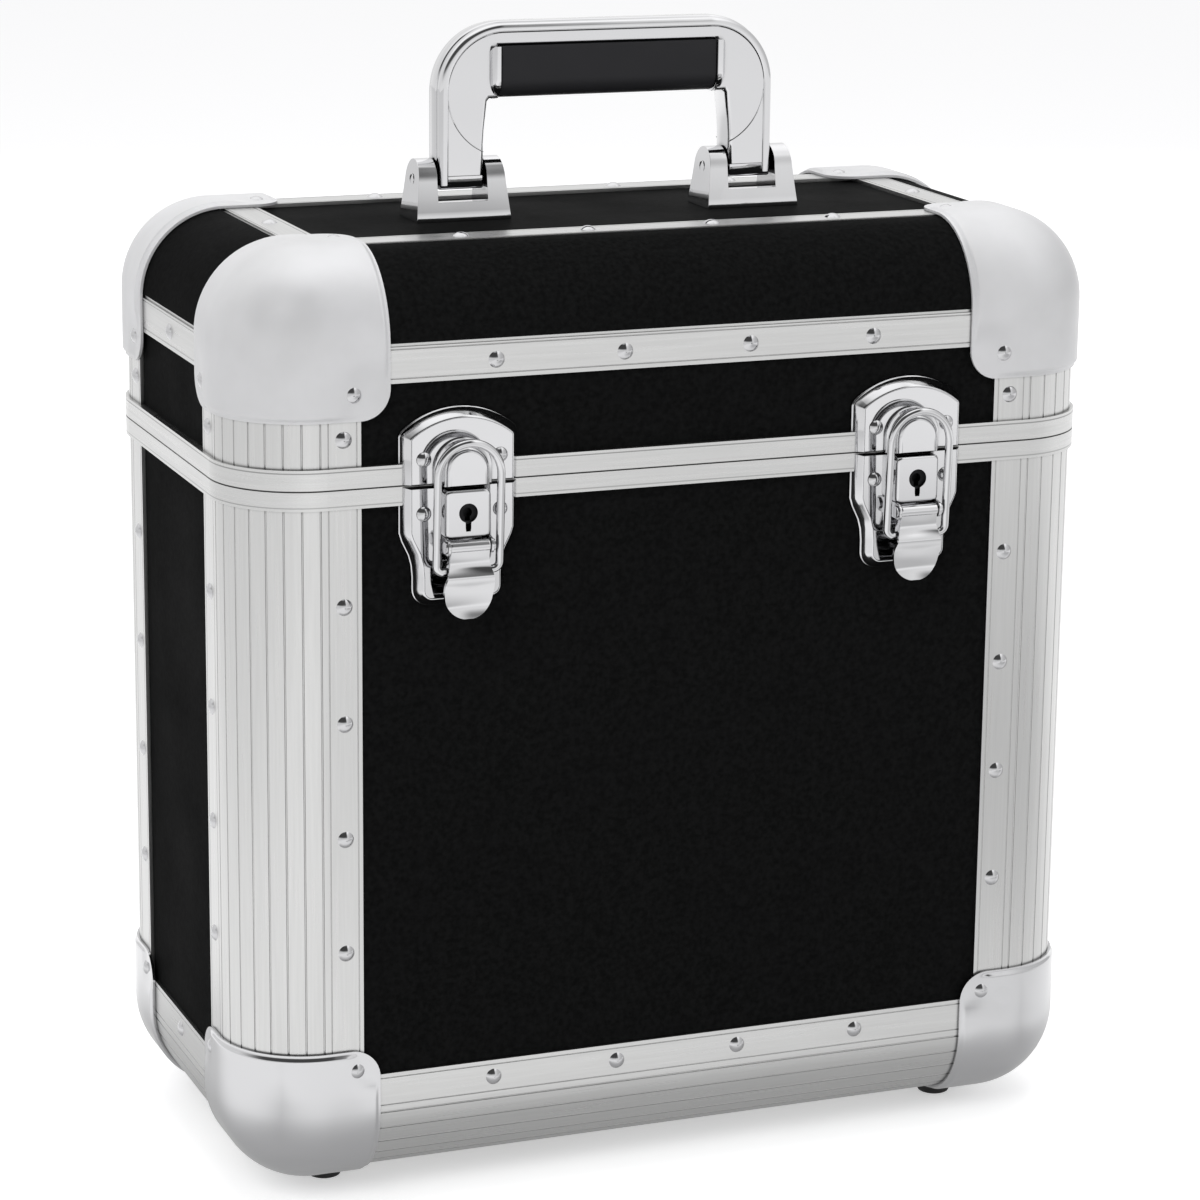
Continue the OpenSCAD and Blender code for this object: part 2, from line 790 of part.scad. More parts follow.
module lid_closure_frame()
    color(ALUMINIUM) placed()
        difference() {
            translate([0, 0, seam_h + seam_gap])
                linear_extrude(lid_frame_h) case_ring(-frame_proud, channel_d);
            panel_channels(lid_panel_low, lid_frame_z + 1);
            translate([0, 0, seam_h]) linear_extrude(tongue_h + tongue_gap)
                case_ring(tongue_in - tongue_gap, tongue_in + tongue_w + tongue_gap);
        }

module lid_lining()
    color(FELT) placed()
        for (side = [LEFT, RIGHT], end = [FRONT, BACK])
            at_corner(side, end, HIGH)
                corner_shell(edge_r - lining_off, edge_r - lining_off - lining_t,
                    [half_w, half_d, case_h - lid_frame_z], 0);

module lid_rivets()
    color(STEEL) placed() {
        for (side = [LEFT, RIGHT], end = [FRONT, BACK])
            at_corner(side, end, HIGH) {
                lid_y_rivets(false);
                lid_x_rivets(false);
                lid_z_rivets(false);
            }
        for (side = [LEFT, RIGHT]) at_corner(side, FRONT, HIGH) side_strip_rivets(false);
        latch_rivets(HIGH, false);
        leaf_rivets(HIGH, false);
    }

// ---- Latches ----
// Drawn about the seam on the case's front face: X across, Z up, -Y out of the case

module at_latch(side)
    translate([side * latch_x, -half_d, seam_h])
        children();

// Thickens an outline in X and Z, between two distances in front of the face
module plate_between(out_near, out_far)
    translate([0, -out_near, 0]) rotate([90, 0, 0]) linear_extrude(out_far - out_near) children();

plate_rivet_x = 15.5;
plate_rivet_z = 10.6;
plate_rivet_r = 2.9;

// Rivets of the latch plates: the ones below the seam belong to the body
module latch_rivets(level, hole)
    for (side = [LEFT, RIGHT], across = [-plate_rivet_x, plate_rivet_x])
        translate([side * latch_x + across, -half_d, seam_h + level * plate_rivet_z]) rotate([90, 0, 0])
            if (hole) rivet_hole(); else rivet(plate_proud, plate_rivet_r);

module body_plate_outline(inset, top)
{
    wide = plate_w / 2 - inset;
    slim = plate_foot_w / 2 - inset;
    neck = -0.4 * plate_down;
    waist = neck - (plate_w - plate_foot_w) / 2 - 5;
    r = 7 - inset;
    low = inset - plate_down;
    polygon([[-wide, top], [wide, top], [wide, neck], [slim, waist], [slim, low + r],
        [-slim, low + r], [-slim, waist], [-wide, neck]]);
    translate([r - slim, low]) square([2 * (slim - r), r]);
    for (side = [LEFT, RIGHT])
        translate([side * (slim - r), low + r])
            intersection() {
                circle(r);
                translate([side > 0 ? 0 : -r, -r]) square(r);
            }
}

// The lid plate has an arched top through its two shoulders
module lid_plate_outline(inset, bottom)
{
    rise = plate_up - plate_shoulder;
    arch_r = (pow(plate_w / 2, 2) + pow(rise, 2)) / (2 * rise);
    intersection() {
        translate([inset - plate_w / 2, bottom]) square([plate_w - 2 * inset, plate_up]);
        translate([0, plate_up - arch_r]) circle(arch_r - inset);
    }
}

// Space round a closure frame where it passes under a latch plate
module frame_space(low, high)
    translate([-plate_w, -frame_proud - 0.1, low]) cube([2 * plate_w, 10, high - low]);

module boss_section()
{
    r = 1.6;
    half = boss_w / 2;
    translate([-half, r - boss_out]) square([boss_w, boss_d + 0.2 - r]);
    translate([r - half, -boss_out]) square([boss_w - 2 * r, r]);
    for (side = [LEFT, RIGHT])
        translate([side * (half - r), r - boss_out])
            intersection() {
                circle(r);
                translate([side > 0 ? 0 : -r, -r]) square(r);
            }
}

boss_top = -0.6;
boss_low = -lever_drop + curl_r + side_gap;
plug_r = 4.5;
plug_z = (boss_top + boss_low) / 2 + 0.4;
keyhole_r = 3.3;
keyhole_w = 2.1;
keyhole_drop = 6.8;
boss_wall = 1.2;

// A cheek of the lock housing that carries the lever's pin
module cheek_outline()
{
    r = lpin_r + 1.7;
    translate([-lpin_out, -lever_drop]) circle(r);
    translate([-lpin_out, -lever_drop - r]) square([lpin_out - plate_proud + 0.2, boss_low + lever_drop + r]);
}

// Runs an outline drawn in Y and Z along X between two places
module across(from, to)
    translate([from, 0, 0]) rotate([90, 0, 90]) linear_extrude(to - from) children();

module latch_plate(side)
    color(CHROME) placed() at_latch(side)
        difference() {
            union() {
                difference() {
                    plate_between(-profile_t, plate_proud) body_plate_outline(0, -0.2);
                    plate_between(-profile_t - 1, plate_proud - plate_t) body_plate_outline(plate_t, 1);
                    frame_space(-body_frame_h - 0.2, 1);
                }
                translate([0, 0, boss_low]) linear_extrude(boss_top - boss_low) boss_section();
                for (hand = [0, 1])
                    mirror([hand, 0, 0])
                        difference() {
                            across(boss_w / 2 - cheek_t, boss_w / 2) cheek_outline();
                            translate([0, -lpin_out, -lever_drop]) rotate([0, 90, 0])
                                cylinder(r = lpin_r, h = boss_w);
                        }
            }
            // Bore for the lock's plug, and the keyhole in front of it
            translate([0, -boss_out + boss_wall, plug_z]) rotate([-90, 0, 0])
                cylinder(r = plug_r + run_gap, h = boss_d + 2);
            translate([0, -boss_out - 1, plug_z]) rotate([-90, 0, 0]) cylinder(r = keyhole_r, h = 3);
            translate([-keyhole_w / 2, -boss_out - 1, plug_z - keyhole_drop])
                cube([keyhole_w, boss_wall + 1, keyhole_drop]);
            for (hole_x = [-plate_rivet_x, plate_rivet_x])
                translate([hole_x, 0, -plate_rivet_z]) rotate([90, 0, 0]) rivet_hole();
        }

module latch_plate_left() latch_plate(LEFT);
module latch_plate_right() latch_plate(RIGHT);

module catch_outline(inset)
{
    half = boss_w / 2 - inset;
    low = 0.7 + inset / 2;
    middle = catch_h - boss_w / 2;
    translate([-half, low]) square([2 * half, middle - low]);
    translate([0, middle])
        intersection() {
            circle(half);
            translate([-half, 0]) square([2 * half, half]);
        }
}

module latch_catch(side)
    color(CHROME) placed() at_latch(side)
        difference() {
            union() {
                difference() {
                    plate_between(-profile_t, plate_proud) lid_plate_outline(0, seam_gap + 0.2);
                    plate_between(-profile_t - 1, plate_proud - plate_t) lid_plate_outline(plate_t, -1);
                    frame_space(-1, lid_frame_h + seam_gap + 0.2);
                }
                plate_between(plate_proud - 0.2, boss_out - 1.5) catch_outline(0);
                plate_between(plate_proud - 0.2, boss_out - 0.1) catch_outline(1.5);
            }
            for (hole_x = [-plate_rivet_x, plate_rivet_x])
                translate([hole_x, 0, plate_rivet_z]) rotate([90, 0, 0]) rivet_hole();
        }

module latch_catch_left() latch_catch(LEFT);
module latch_catch_right() latch_catch(RIGHT);

module latch_pins()
    color(STEEL) placed()
        for (side = [LEFT, RIGHT])
            at_latch(side)
                translate([0, -lpin_out, -lever_drop]) rotate([0, 90, 0]) {
                    cylinder(r = lpin_r, h = boss_w, center = true);
                    for (hand = [0, 1])
                        mirror([0, 0, hand])
                            translate([0, 0, boss_w / 2]) cylinder(r = lpin_r + 0.8, h = tail_h);
                }

// Lever: the bulge of its front face, as [distance below the pin, distance in front of it]
lever_wave = [[0.8, 1.7], [7, 0.2], [15.2, 3], [18, 1.9], [24, 1], [lever_len + 0.1, 3.1]];
lever_half_w = boss_w / 2 - cheek_t - side_gap;
lever_ear_end = 13;

function ease(t) = (1 - cos(180 * t)) / 2;

function wave_at(s, k = 0) =
    s > lever_wave[k + 1][0] && k < len(lever_wave) - 2
        ? wave_at(s, k + 1)
        : let (t = (s - lever_wave[k][0]) / (lever_wave[k + 1][0] - lever_wave[k][0]))
            lever_wave[k][1] + (lever_wave[k + 1][1] - lever_wave[k][1]) * ease(t);

wave_steps = 26;
wave_s = [for (k = [0 : wave_steps]) 0.8 + k * (lever_len - 0.7) / wave_steps];

// Outlines in Y and Z about the lever's pin
module lever_web_outline()
    polygon(concat(
        [for (s = wave_s) [-wave_at(s), -s]],
        [for (k = [wave_steps : -1 : 0]) [lever_t - wave_at(wave_s[k]), -wave_s[k]]]));

module lever_ear_outline()
{
    r = wire_r + 1.5;
    polygon(concat([[0, 0]],
        [for (s = wave_s) if (s < lever_ear_end) [lever_t / 2 - wave_at(s), -s]],
        [[bail_in, -lever_ear_end], [bail_in + r, -bail_arm], [curl_r, 0]]));
    translate([bail_in, -bail_arm]) circle(r);
}

// Front outline of the lever, about its pin: a slim neck between the cheeks, shoulders
// and a rounded tab
module lever_front_outline()
{
    shoulder = lpin_r + 2.6;
    translate([-lever_half_w, -shoulder]) square([2 * lever_half_w, shoulder + curl_r]);
    translate([-boss_w / 2 + 0.6, -lever_ear_end - 1])
        square([boss_w - 1.2, lever_ear_end + 1 - shoulder]);
    translate([-lever_r, lever_r - lever_len]) square([2 * lever_r, lever_len - lever_r - shoulder]);
    translate([0, lever_r - lever_len])
        intersection() {
            circle(lever_r);
            translate([-lever_r, -lever_r]) square([2 * lever_r, lever_r]);
        }
}

module latch_lever(side)
    color(CHROME) placed() at_latch(side)
        translate([0, -lpin_out, -lever_drop])
            difference() {
                union() {
                    intersection() {
                        across(-boss_w, boss_w) lever_web_outline();
                        translate([0, 10, 0]) rotate([90, 0, 0]) linear_extrude(20) lever_front_outline();
                    }
                    for (hand = [0, 1])
                        mirror([hand, 0, 0]) across(lever_half_w - ear_t, lever_half_w) lever_ear_outline();
                    rotate([0, 90, 0]) cylinder(r = curl_r, h = 2 * lever_half_w, center = true);
                }
                rotate([0, 90, 0]) cylinder(r = lpin_r + run_gap, h = 2 * boss_w, center = true);
                translate([0, bail_in, -bail_arm]) rotate([0, 90, 0])
                    cylinder(r = wire_r + run_gap, h = 2 * boss_w, center = true);
            }

module latch_lever_left() latch_lever(LEFT);
module latch_lever_right() latch_lever(RIGHT);

// Bail: a wire loop over the catch, whose ends are hooked into the lever's ears
bend_r = 3;

module latch_bail(side)
    color(CHROME) placed() at_latch(side)
        translate([0, -bail_low_out, bail_low]) rotate([bail_tilt, 0, 0]) {
            translate([0, 0, bail_len - bail_half_w]) rotate([90, 0, 0])
                rotate_extrude(angle = 180) translate([bail_half_w, 0]) circle(wire_r);
            for (hand = [0, 1])
                mirror([hand, 0, 0]) {
                    translate([bail_half_w, 0, bend_r])
                        cylinder(r = wire_r, h = bail_len - bail_half_w - bend_r);
                    translate([bail_half_w - bend_r, 0, bend_r]) rotate([90, 0, 0])
                        rotate_extrude(angle = -90) translate([bend_r, 0]) circle(wire_r);
                    translate([lever_half_w - ear_t - 0.8, 0, 0]) rotate([0, 90, 0])
                        cylinder(r = wire_r, h = bail_half_w - bend_r - lever_half_w + ear_t + 0.8);
                }
        }

module latch_bail_left() latch_bail(LEFT);
module latch_bail_right() latch_bail(RIGHT);

// Lock plug: a barrel with a key slot, and behind the plate the cam that it turns
module lock_plug(side)
    color(STEEL) placed() at_latch(side)
        translate([0, 0, plug_z]) {
            cam_t = 1.3;
            cam_y = -plate_proud + plate_t + side_gap;
            key_r = 1.9;
            key_depth = 3.5;
            difference() {
                translate([0, -boss_out + boss_wall + side_gap, 0]) rotate([-90, 0, 0])
                    cylinder(r = plug_r, h = cam_y + boss_out - boss_wall - side_gap);
                translate([-keyhole_w / 2, -boss_out, -plug_r + 1.2])
                    cube([keyhole_w, boss_wall + side_gap + key_depth, plug_r]);
                translate([0, -boss_out, 0]) rotate([-90, 0, 0])
                    cylinder(r = key_r, h = boss_wall + side_gap + key_depth);
            }
            translate([0, cam_y, 0]) rotate([-90, 0, 0]) cylinder(r = plug_r - 0.5, h = cam_t);
            translate([-2.2, cam_y, 0]) cube([4.4, cam_t, 8]);
        }

module lock_plug_left() lock_plug(LEFT);
module lock_plug_right() lock_plug(RIGHT);

// ---- Rear hinges ----

leaf_w = 5 * knuckle_l + 4 * side_gap;
leaf_rivet_x = leaf_w / 2 - 9;

module at_hinges()
    for (side = [LEFT, RIGHT])
        translate([side * hinge_x, half_d, hinge_z])
            children();

leaf_rivet_drop = 20;
leaf_lift = 0.2;

function knuckle_x(place) = -leaf_w / 2 + place * (knuckle_l + side_gap);

// Rivets of the hinge leaves: they pass the leaf and the panel
module leaf_rivets(level, hole)
    at_hinges()
        for (place = [-leaf_rivet_x, 0, leaf_rivet_x])
            translate([place, 0, level * leaf_rivet_drop]) rotate([-90, 0, 0]) rivet_or_hole(hole);

// A leaf lies on the panel and steps out over the closure frame to its knuckles
module leaf(level, first, knuckles, frame_h)
    difference() {
        union() {
            mirror([0, 0, level > 0 ? 0 : 1]) {
                translate([-leaf_w / 2, -profile_t, frame_h + leaf_lift])
                    cube([leaf_w, leaf_t, leaf_h - frame_h]);
                translate([-leaf_w / 2, -profile_t, frame_h + leaf_lift])
                    cube([leaf_w, hinge_out + profile_t, leaf_t]);
                for (k = [0 : knuckles - 1])
                    translate([knuckle_x(first + 2 * k), hinge_out - leaf_t / 2, 0])
                        cube([knuckle_l, leaf_t / 2, frame_h + leaf_lift + leaf_t]);
            }
            for (k = [0 : knuckles - 1])
                translate([knuckle_x(first + 2 * k), hinge_out, 0])
                    rotate([0, 90, 0]) cylinder(r = knuckle_r, h = knuckle_l);
        }
        translate([-leaf_w, hinge_out, 0]) rotate([0, 90, 0])
            cylinder(r = hinge_pin_r + run_gap, h = 2 * leaf_w);
        for (place = [-leaf_rivet_x, 0, leaf_rivet_x])
            translate([place, 0, level * leaf_rivet_drop]) rotate([-90, 0, 0]) rivet_hole();
    }

module hinge_body_leaves()
    color(STEEL) placed() at_hinges() leaf(LOW, 1, 2, body_frame_h + seam_gap / 2);

module hinge_lid_leaves()
    color(STEEL) placed() at_hinges() leaf(HIGH, 0, 3, lid_frame_h + seam_gap / 2);

module hinge_pins()
    color(STEEL) placed() at_hinges()
        translate([-leaf_w / 2, hinge_out, 0]) rotate([0, 90, 0]) cylinder(r = hinge_pin_r, h = leaf_w);

// ---- Handle ----

module at_handle_feet()
    for (side = [LEFT, RIGHT])
        translate([side * handle_span / 2, 0, case_h - profile_t])
            children();

handle_w = handle_span + leg_w;
hfoot_slot = leg_w + 2 * leg_gap;
pivot_z = pivot_h + profile_t;
hfoot_top = hfoot_h + profile_t;
hfoot_slope = 2.4;
hfoot_toe = 2;

// Front outline of a foot, with its slot, and side outline with a rounded top
module hfoot_front()
    difference() {
        polygon([[-hfoot_w / 2, 0], [hfoot_w / 2, 0], [hfoot_w / 2 - hfoot_slope, hfoot_top],
            [hfoot_slope - hfoot_w / 2, hfoot_top]]);
        translate([-hfoot_slot / 2, hfoot_sill + profile_t]) square([hfoot_slot, hfoot_top]);
    }

module hfoot_side()
{
    r = hfoot_top - pivot_z;
    translate([0, pivot_z])
        intersection() {
            circle(r);
            translate([-r, 0]) square([2 * r, r]);
        }
    polygon([[-hfoot_d / 2, 0], [hfoot_d / 2, 0], [hfoot_d / 2, hfoot_toe], [r, pivot_z],
        [-r, pivot_z], [-hfoot_d / 2, hfoot_toe]]);
}

module handle_foot(side)
    color(CHROME) placed()
        translate([side * handle_span / 2, 0, case_h - profile_t])
            difference() {
                intersection() {
                    translate([0, hfoot_d, 0]) rotate([90, 0, 0]) linear_extrude(2 * hfoot_d) hfoot_front();
                    across(-hfoot_w, hfoot_w) hfoot_side();
                }
                translate([-hfoot_w, 0, pivot_z]) rotate([0, 90, 0])
                    cylinder(r = hpin_r, h = 2 * hfoot_w);
            }

module handle_foot_left() handle_foot(LEFT);
module handle_foot_right() handle_foot(RIGHT);

hpin_l = hfoot_w - 5.5;

module handle_pins()
    color(STEEL) placed() at_handle_feet()
        translate([-hpin_l / 2, 0, pivot_z]) rotate([0, 90, 0]) cylinder(r = hpin_r, h = hpin_l);

// Handle, drawn about the middle of its pivot axis: X across, Z up
handle_rise = handle_top - pivot_h;
leg_out = handle_w / 2;
leg_in = leg_out - leg_w;
leg_eye_r = 4.2;
line_arc_r = 24;
// Rounded rim along the outside of legs and bar, with a fine strip along its middle
hrim_w = 4.5;
rim_round = 3.5;
strip_w = 6;
strip_h = 0.6;
plate_in = 0.6;
// A leg keeps its width until it is out of its foot, upright and folded
leg_straight = max(hfoot_h - pivot_h, hfoot_d / 2) + 1.5;
leg_flare = 1.8;
grip_half = leg_out - leg_top_w;
corner_x = leg_out - handle_r;
corner_z = handle_rise - handle_r;

// Section of the rim: its outer side is at the origin and its depth runs along Y
module rim_section()
{
    half = handle_d / 2;
    round_at = -strip_h - rim_round;
    translate([-hrim_w, -half]) square([hrim_w + round_at, handle_d]);
    translate([-hrim_w, rim_round - half]) square([hrim_w - strip_h, handle_d - 2 * rim_round]);
    for (end = [FRONT, BACK])
        translate([round_at, end * (half - rim_round)]) circle(rim_round);
    translate([round_at, -strip_w / 2]) square([rim_round + strip_h, strip_w]);
}

// The rim runs up one leg, round the corners, along the bar and down the other leg
module handle_rim()
{
    for (side = [0, 1])
        mirror([side, 0, 0]) {
            translate([leg_out, 0, -leg_eye_r]) linear_extrude(corner_z + leg_eye_r) rim_section();
            translate([corner_x, 0, corner_z]) rotate([90, 0, 0])
                rotate_extrude(angle = 90) translate([handle_r, 0]) rim_section();
        }
    across(-corner_x, corner_x) translate([0, handle_rise]) rotate(90) rim_section();
}

// Front outline of legs and bar inside the rim
module handle_front_outline()
{
    inset = hrim_w / 2;
    r = handle_r - inset;
    grip_low = handle_rise - bar_t - grip_h;
    difference() {
        union() {
            translate([inset - leg_out, -leg_eye_r])
                square([2 * (leg_out - inset), corner_z + leg_eye_r]);
            translate([-corner_x, corner_z]) square([2 * corner_x, r]);
            for (side = [LEFT, RIGHT])
                translate([side * corner_x, corner_z])
                    intersection() {
                        circle(r);
                        translate([side > 0 ? 0 : -r, 0]) square(r);
                    }
        }
        polygon([[-leg_in, -leg_eye_r - 1], [leg_in, -leg_eye_r - 1], [leg_in, leg_straight],
            [leg_in - leg_flare, grip_low], [grip_half, grip_low], [grip_half, handle_rise - bar_t],
            [-grip_half, handle_rise - bar_t], [-grip_half, grip_low],
            [leg_flare - leg_in, grip_low], [-leg_in, leg_straight]]);
    }
}

module handle_frame()
    color(CHROME) placed()
        translate([0, 0, case_h + pivot_h])
            difference() {
                union() {
                    translate([0, handle_d / 2 - plate_in, 0]) rotate([90, 0, 0])
                        linear_extrude(handle_d - 2 * plate_in) handle_front_outline();
                    handle_rim();
                }
                // Rounded lower ends of the legs, round the pivot
                across(-handle_w, handle_w)
                    difference() {
                        translate([-handle_d, -handle_d]) square([2 * handle_d, handle_d]);
                        circle(leg_eye_r);
                    }
                // Curved line engraved on both faces of a leg
                for (side = [0, 1], end = [FRONT, BACK])
                    mirror([side, 0, 0])
                        translate([leg_in - 6, end * (handle_d / 2 - plate_in), handle_rise / 2 + 4])
                            rotate([90, 0, 0]) intersection() {
                                difference() {
                                    cylinder(r = line_arc_r, h = 0.6, center = true);
                                    cylinder(r = line_arc_r - 0.5, h = 1, center = true);
                                }
                                translate([0, -line_arc_r, -1]) cube([line_arc_r, line_arc_r, 2]);
                            }
                rotate([0, 90, 0]) cylinder(r = hpin_r + run_gap, h = 2 * handle_w, center = true);
            }

// D-shaped grip below the bar
module handle_grip()
    color(RUBBER) placed()
        translate([0, 0, case_h + pivot_h + handle_rise - bar_t])
            across(-grip_half, grip_half)
                union() {
                    half = handle_d / 2 + 1.5;
                    corner = half - 1;
                    translate([-half, corner - grip_h]) square([2 * half, grip_h - corner]);
                    translate([corner - half, -grip_h]) square([2 * (half - corner), corner]);
                    for (end = [FRONT, BACK])
                        translate([end * (half - corner), corner - grip_h])
                            intersection() {
                                circle(corner);
                                translate([end > 0 ? 0 : -corner, -corner]) square(corner);
                            }
                }

base_panel();
front_panel();
back_panel();
left_panel();
right_panel();
corner_profile_front_left();
corner_profile_front_right();
corner_profile_back_left();
corner_profile_back_right();
bottom_profile_front();
bottom_profile_back();
bottom_profile_left();
bottom_profile_right();
bottom_corner_front_left();
bottom_corner_front_right();
bottom_corner_back_left();
bottom_corner_back_right();
body_closure_frame();
body_lining();
body_rivets();
rubber_feet();
foot_screws();
latch_plate_left();
latch_plate_right();
latch_pins();
latch_lever_left();
latch_lever_right();
latch_bail_left();
latch_bail_right();
lock_plug_left();
lock_plug_right();
hinge_body_leaves();
hinge_lid_leaves();
hinge_pins();
top_panel();
lid_front_panel();
lid_back_panel();
lid_left_panel();
lid_right_panel();
top_profile_front();
top_profile_back();
top_profile_left();
top_profile_right();
edge_inlays();
lid_corner_profiles();
top_corner_front_left();
top_corner_front_right();
top_corner_back_left();
top_corner_back_right();
lid_closure_frame();
lid_lining();
lid_rivets();
latch_catch_left();
latch_catch_right();
handle_foot_left();
handle_foot_right();
handle_pins();
handle_frame();
handle_grip();
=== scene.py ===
# %% [markdown]
# # A record carrying case, dressed for its picture
# The case is already designed as a set of solid parts. This lesson loads those
# parts, keeps the ones whose shape is right, and builds finer versions of the ones that
# need soft edges, such as pressed corners, latches and the handle. It ends with the
# materials, the light and the camera.

import itertools
import json
import math

import bmesh
import bpy
from mathutils import Matrix, Vector


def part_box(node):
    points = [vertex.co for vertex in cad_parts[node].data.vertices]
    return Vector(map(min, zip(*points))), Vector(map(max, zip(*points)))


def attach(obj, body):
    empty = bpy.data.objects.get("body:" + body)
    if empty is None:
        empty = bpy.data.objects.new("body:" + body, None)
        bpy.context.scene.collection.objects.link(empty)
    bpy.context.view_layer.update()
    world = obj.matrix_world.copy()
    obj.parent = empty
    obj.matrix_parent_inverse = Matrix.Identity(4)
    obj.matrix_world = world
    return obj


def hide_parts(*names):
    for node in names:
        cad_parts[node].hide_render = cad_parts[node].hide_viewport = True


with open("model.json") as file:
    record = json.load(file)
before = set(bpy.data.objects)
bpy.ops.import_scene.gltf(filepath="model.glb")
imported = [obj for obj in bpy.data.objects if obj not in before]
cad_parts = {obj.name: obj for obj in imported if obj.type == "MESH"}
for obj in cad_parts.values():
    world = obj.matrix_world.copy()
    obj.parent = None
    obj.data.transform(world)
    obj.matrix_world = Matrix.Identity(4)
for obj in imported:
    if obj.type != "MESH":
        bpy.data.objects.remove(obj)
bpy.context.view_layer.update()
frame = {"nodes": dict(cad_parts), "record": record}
nodes = frame["nodes"]

# %% [markdown]
# The real case has a few sizes that every piece shares: the box of its faces, the radius
# of its rounded edges and the height of the seam. The box and the seam are read from the
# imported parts, so a dressed piece always lies where its part lies. Working in millimetres
# keeps the numbers readable, and one factor turns them into Blender's metres.

# %% Shared sizes
MM = 0.001
side_low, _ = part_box("corner_profile_front_left")
_, top_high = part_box("top_profile_front")
bottom_low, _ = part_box("bottom_profile_front")
_, back_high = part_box("corner_profile_back_left")
HALF_W = -side_low.x / MM
FRONT_Y = side_low.y / MM
BACK_Y = back_high.y / MM
MID_Y = (FRONT_Y + BACK_Y) / 2
HALF_D = (BACK_Y - FRONT_Y) / 2
FLOOR_Z = bottom_low.z / MM
TOP_Z = top_high.z / MM
EDGE_R = 34.5
HALF_SEAM_GAP = 0.3
SEAM_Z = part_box("lid_closure_frame")[0].z / MM - HALF_SEAM_GAP
SIDES = {"left": -1, "right": 1}
ENDS = {"front": -1, "back": 1}
print("faces:", HALF_W, FRONT_Y, BACK_Y, FLOOR_Z, TOP_Z, "seam", round(SEAM_Z, 2))

# %% [markdown]
# Most pieces are meshes made from a list of points and faces. One helper turns such a
# list into an object, gives it its material, and says which moving part of the case it
# rides on and which plain part it stands for. Every later cell uses it, so no piece is
# forgotten when the lid opens. Three more helpers round its edges, give a skin the
# thickness of its sheet and make sure that the skin faces outward.

# %% Helpers that make pieces
SAME_PLACE = 1e-6
SHARP_ANGLE = math.radians(42)
materials = {}


def piece_from(name, points, faces, finish, body, stands_for=()):
    """An object from points in millimetres, riding on a body, for the nodes it stands for."""
    mesh = bpy.data.meshes.new(name)
    mesh.from_pydata([Vector(p) * MM for p in points], [], faces)
    mesh.validate()
    tidy = bmesh.new()
    tidy.from_mesh(mesh)
    bmesh.ops.remove_doubles(tidy, verts=tidy.verts, dist=SAME_PLACE)
    bmesh.ops.recalc_face_normals(tidy, faces=tidy.faces)
    tidy.to_mesh(mesh)
    tidy.free()
    mesh.shade_smooth()
    mesh.set_sharp_from_angle(angle=SHARP_ANGLE)
    obj = bpy.data.objects.new(name, mesh)
    bpy.context.scene.collection.objects.link(obj)
    obj.data.materials.append(materials[finish])
    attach(obj, body)
    if stands_for:
        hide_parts(*stands_for)
    return obj


def soften(obj, width, segments=2, angle=30):
    bevel = obj.modifiers.new("edges", "BEVEL")
    bevel.width = width * MM
    bevel.segments = segments
    bevel.limit_method = "ANGLE"
    bevel.angle_limit = math.radians(angle)
    bevel.harden_normals = True


def thicken(obj, thickness):
    """Give a skin its sheet thickness, inward from where it lies."""
    sheet = obj.modifiers.new("sheet", "SOLIDIFY")
    sheet.thickness = thickness * MM
    sheet.offset = -1


def turn_outward(obj, outward):
    if obj.data.polygons[0].normal.dot(Vector(outward)) < 0:
        obj.data.flip_normals()


def loft(rings, close_ends=True):
    """Points and faces of a skin over closed rings that have equally many points."""
    count = len(rings[0])
    points = [p for ring in rings for p in ring]
    faces = []
    for start in range(0, len(points) - count, count):
        for k in range(count):
            n = (k + 1) % count
            faces.append((start + k, start + n, start + count + n, start + count + k))
    if close_ends:
        faces.append(tuple(reversed(range(count))))
        faces.append(tuple(range(len(points) - count, len(points))))
    return points, faces


def step(x, start, end):
    """From 0 to 1 between two places, with soft ends."""
    t = min(1.0, max(0.0, (x - start) / (end - start)))
    return t * t * (3 - 2 * t)


print("a step's middle:", step(0.5, 0, 1))

# %% [markdown]
# ## Finishes
# Metal is told apart by its roughness and by the marks in it, far more than by its
# colour. The anodised edges have fine drawn lines along their length, the pressed
# corners have a cloudy satin skin, and chrome shows its surroundings almost like a
# mirror. Fine grain and worn spots come from node groups, so that each finish uses the
# same recipe with its own numbers.

# %% Helpers for nodes
def add(tree, kind, **values):
    node = tree.nodes.new(kind)
    for key, value in values.items():
        setattr(node, key, value)
    return node


def wire(tree, *pairs):
    for source, target in pairs:
        tree.links.new(source, target)


def feed(tree, socket, value):
    """Give a socket a number or a colour, or another node's result."""
    if isinstance(value, bpy.types.NodeSocket):
        tree.links.new(value, socket)
    else:
        socket.default_value = value


def put(tree, node, **values):
    """Feed a node's sockets by their titles and hand back its first result."""
    for title, value in values.items():
        feed(tree, node.inputs[title.replace("_", " ")], value)
    return node.outputs[0]


def number_of(tree, operation, *numbers):
    node = add(tree, "ShaderNodeMath", operation=operation)
    for socket, value in zip(node.inputs, numbers):
        feed(tree, socket, value)
    return node.outputs[0]


def spread_of(tree, value, low, high, to_low, to_high, kind="SMOOTHSTEP"):
    node = add(tree, "ShaderNodeMapRange", interpolation_type=kind)
    return put(tree, node, Value=value, From_Min=low, From_Max=high, To_Min=to_low, To_Max=to_high)


def mixed(tree, factor, one, two, blend="MIX"):
    node = add(tree, "ShaderNodeMix", data_type="RGBA", blend_type=blend)
    put(tree, node, Factor=factor, A=one, B=two)
    return node.outputs["Result"]


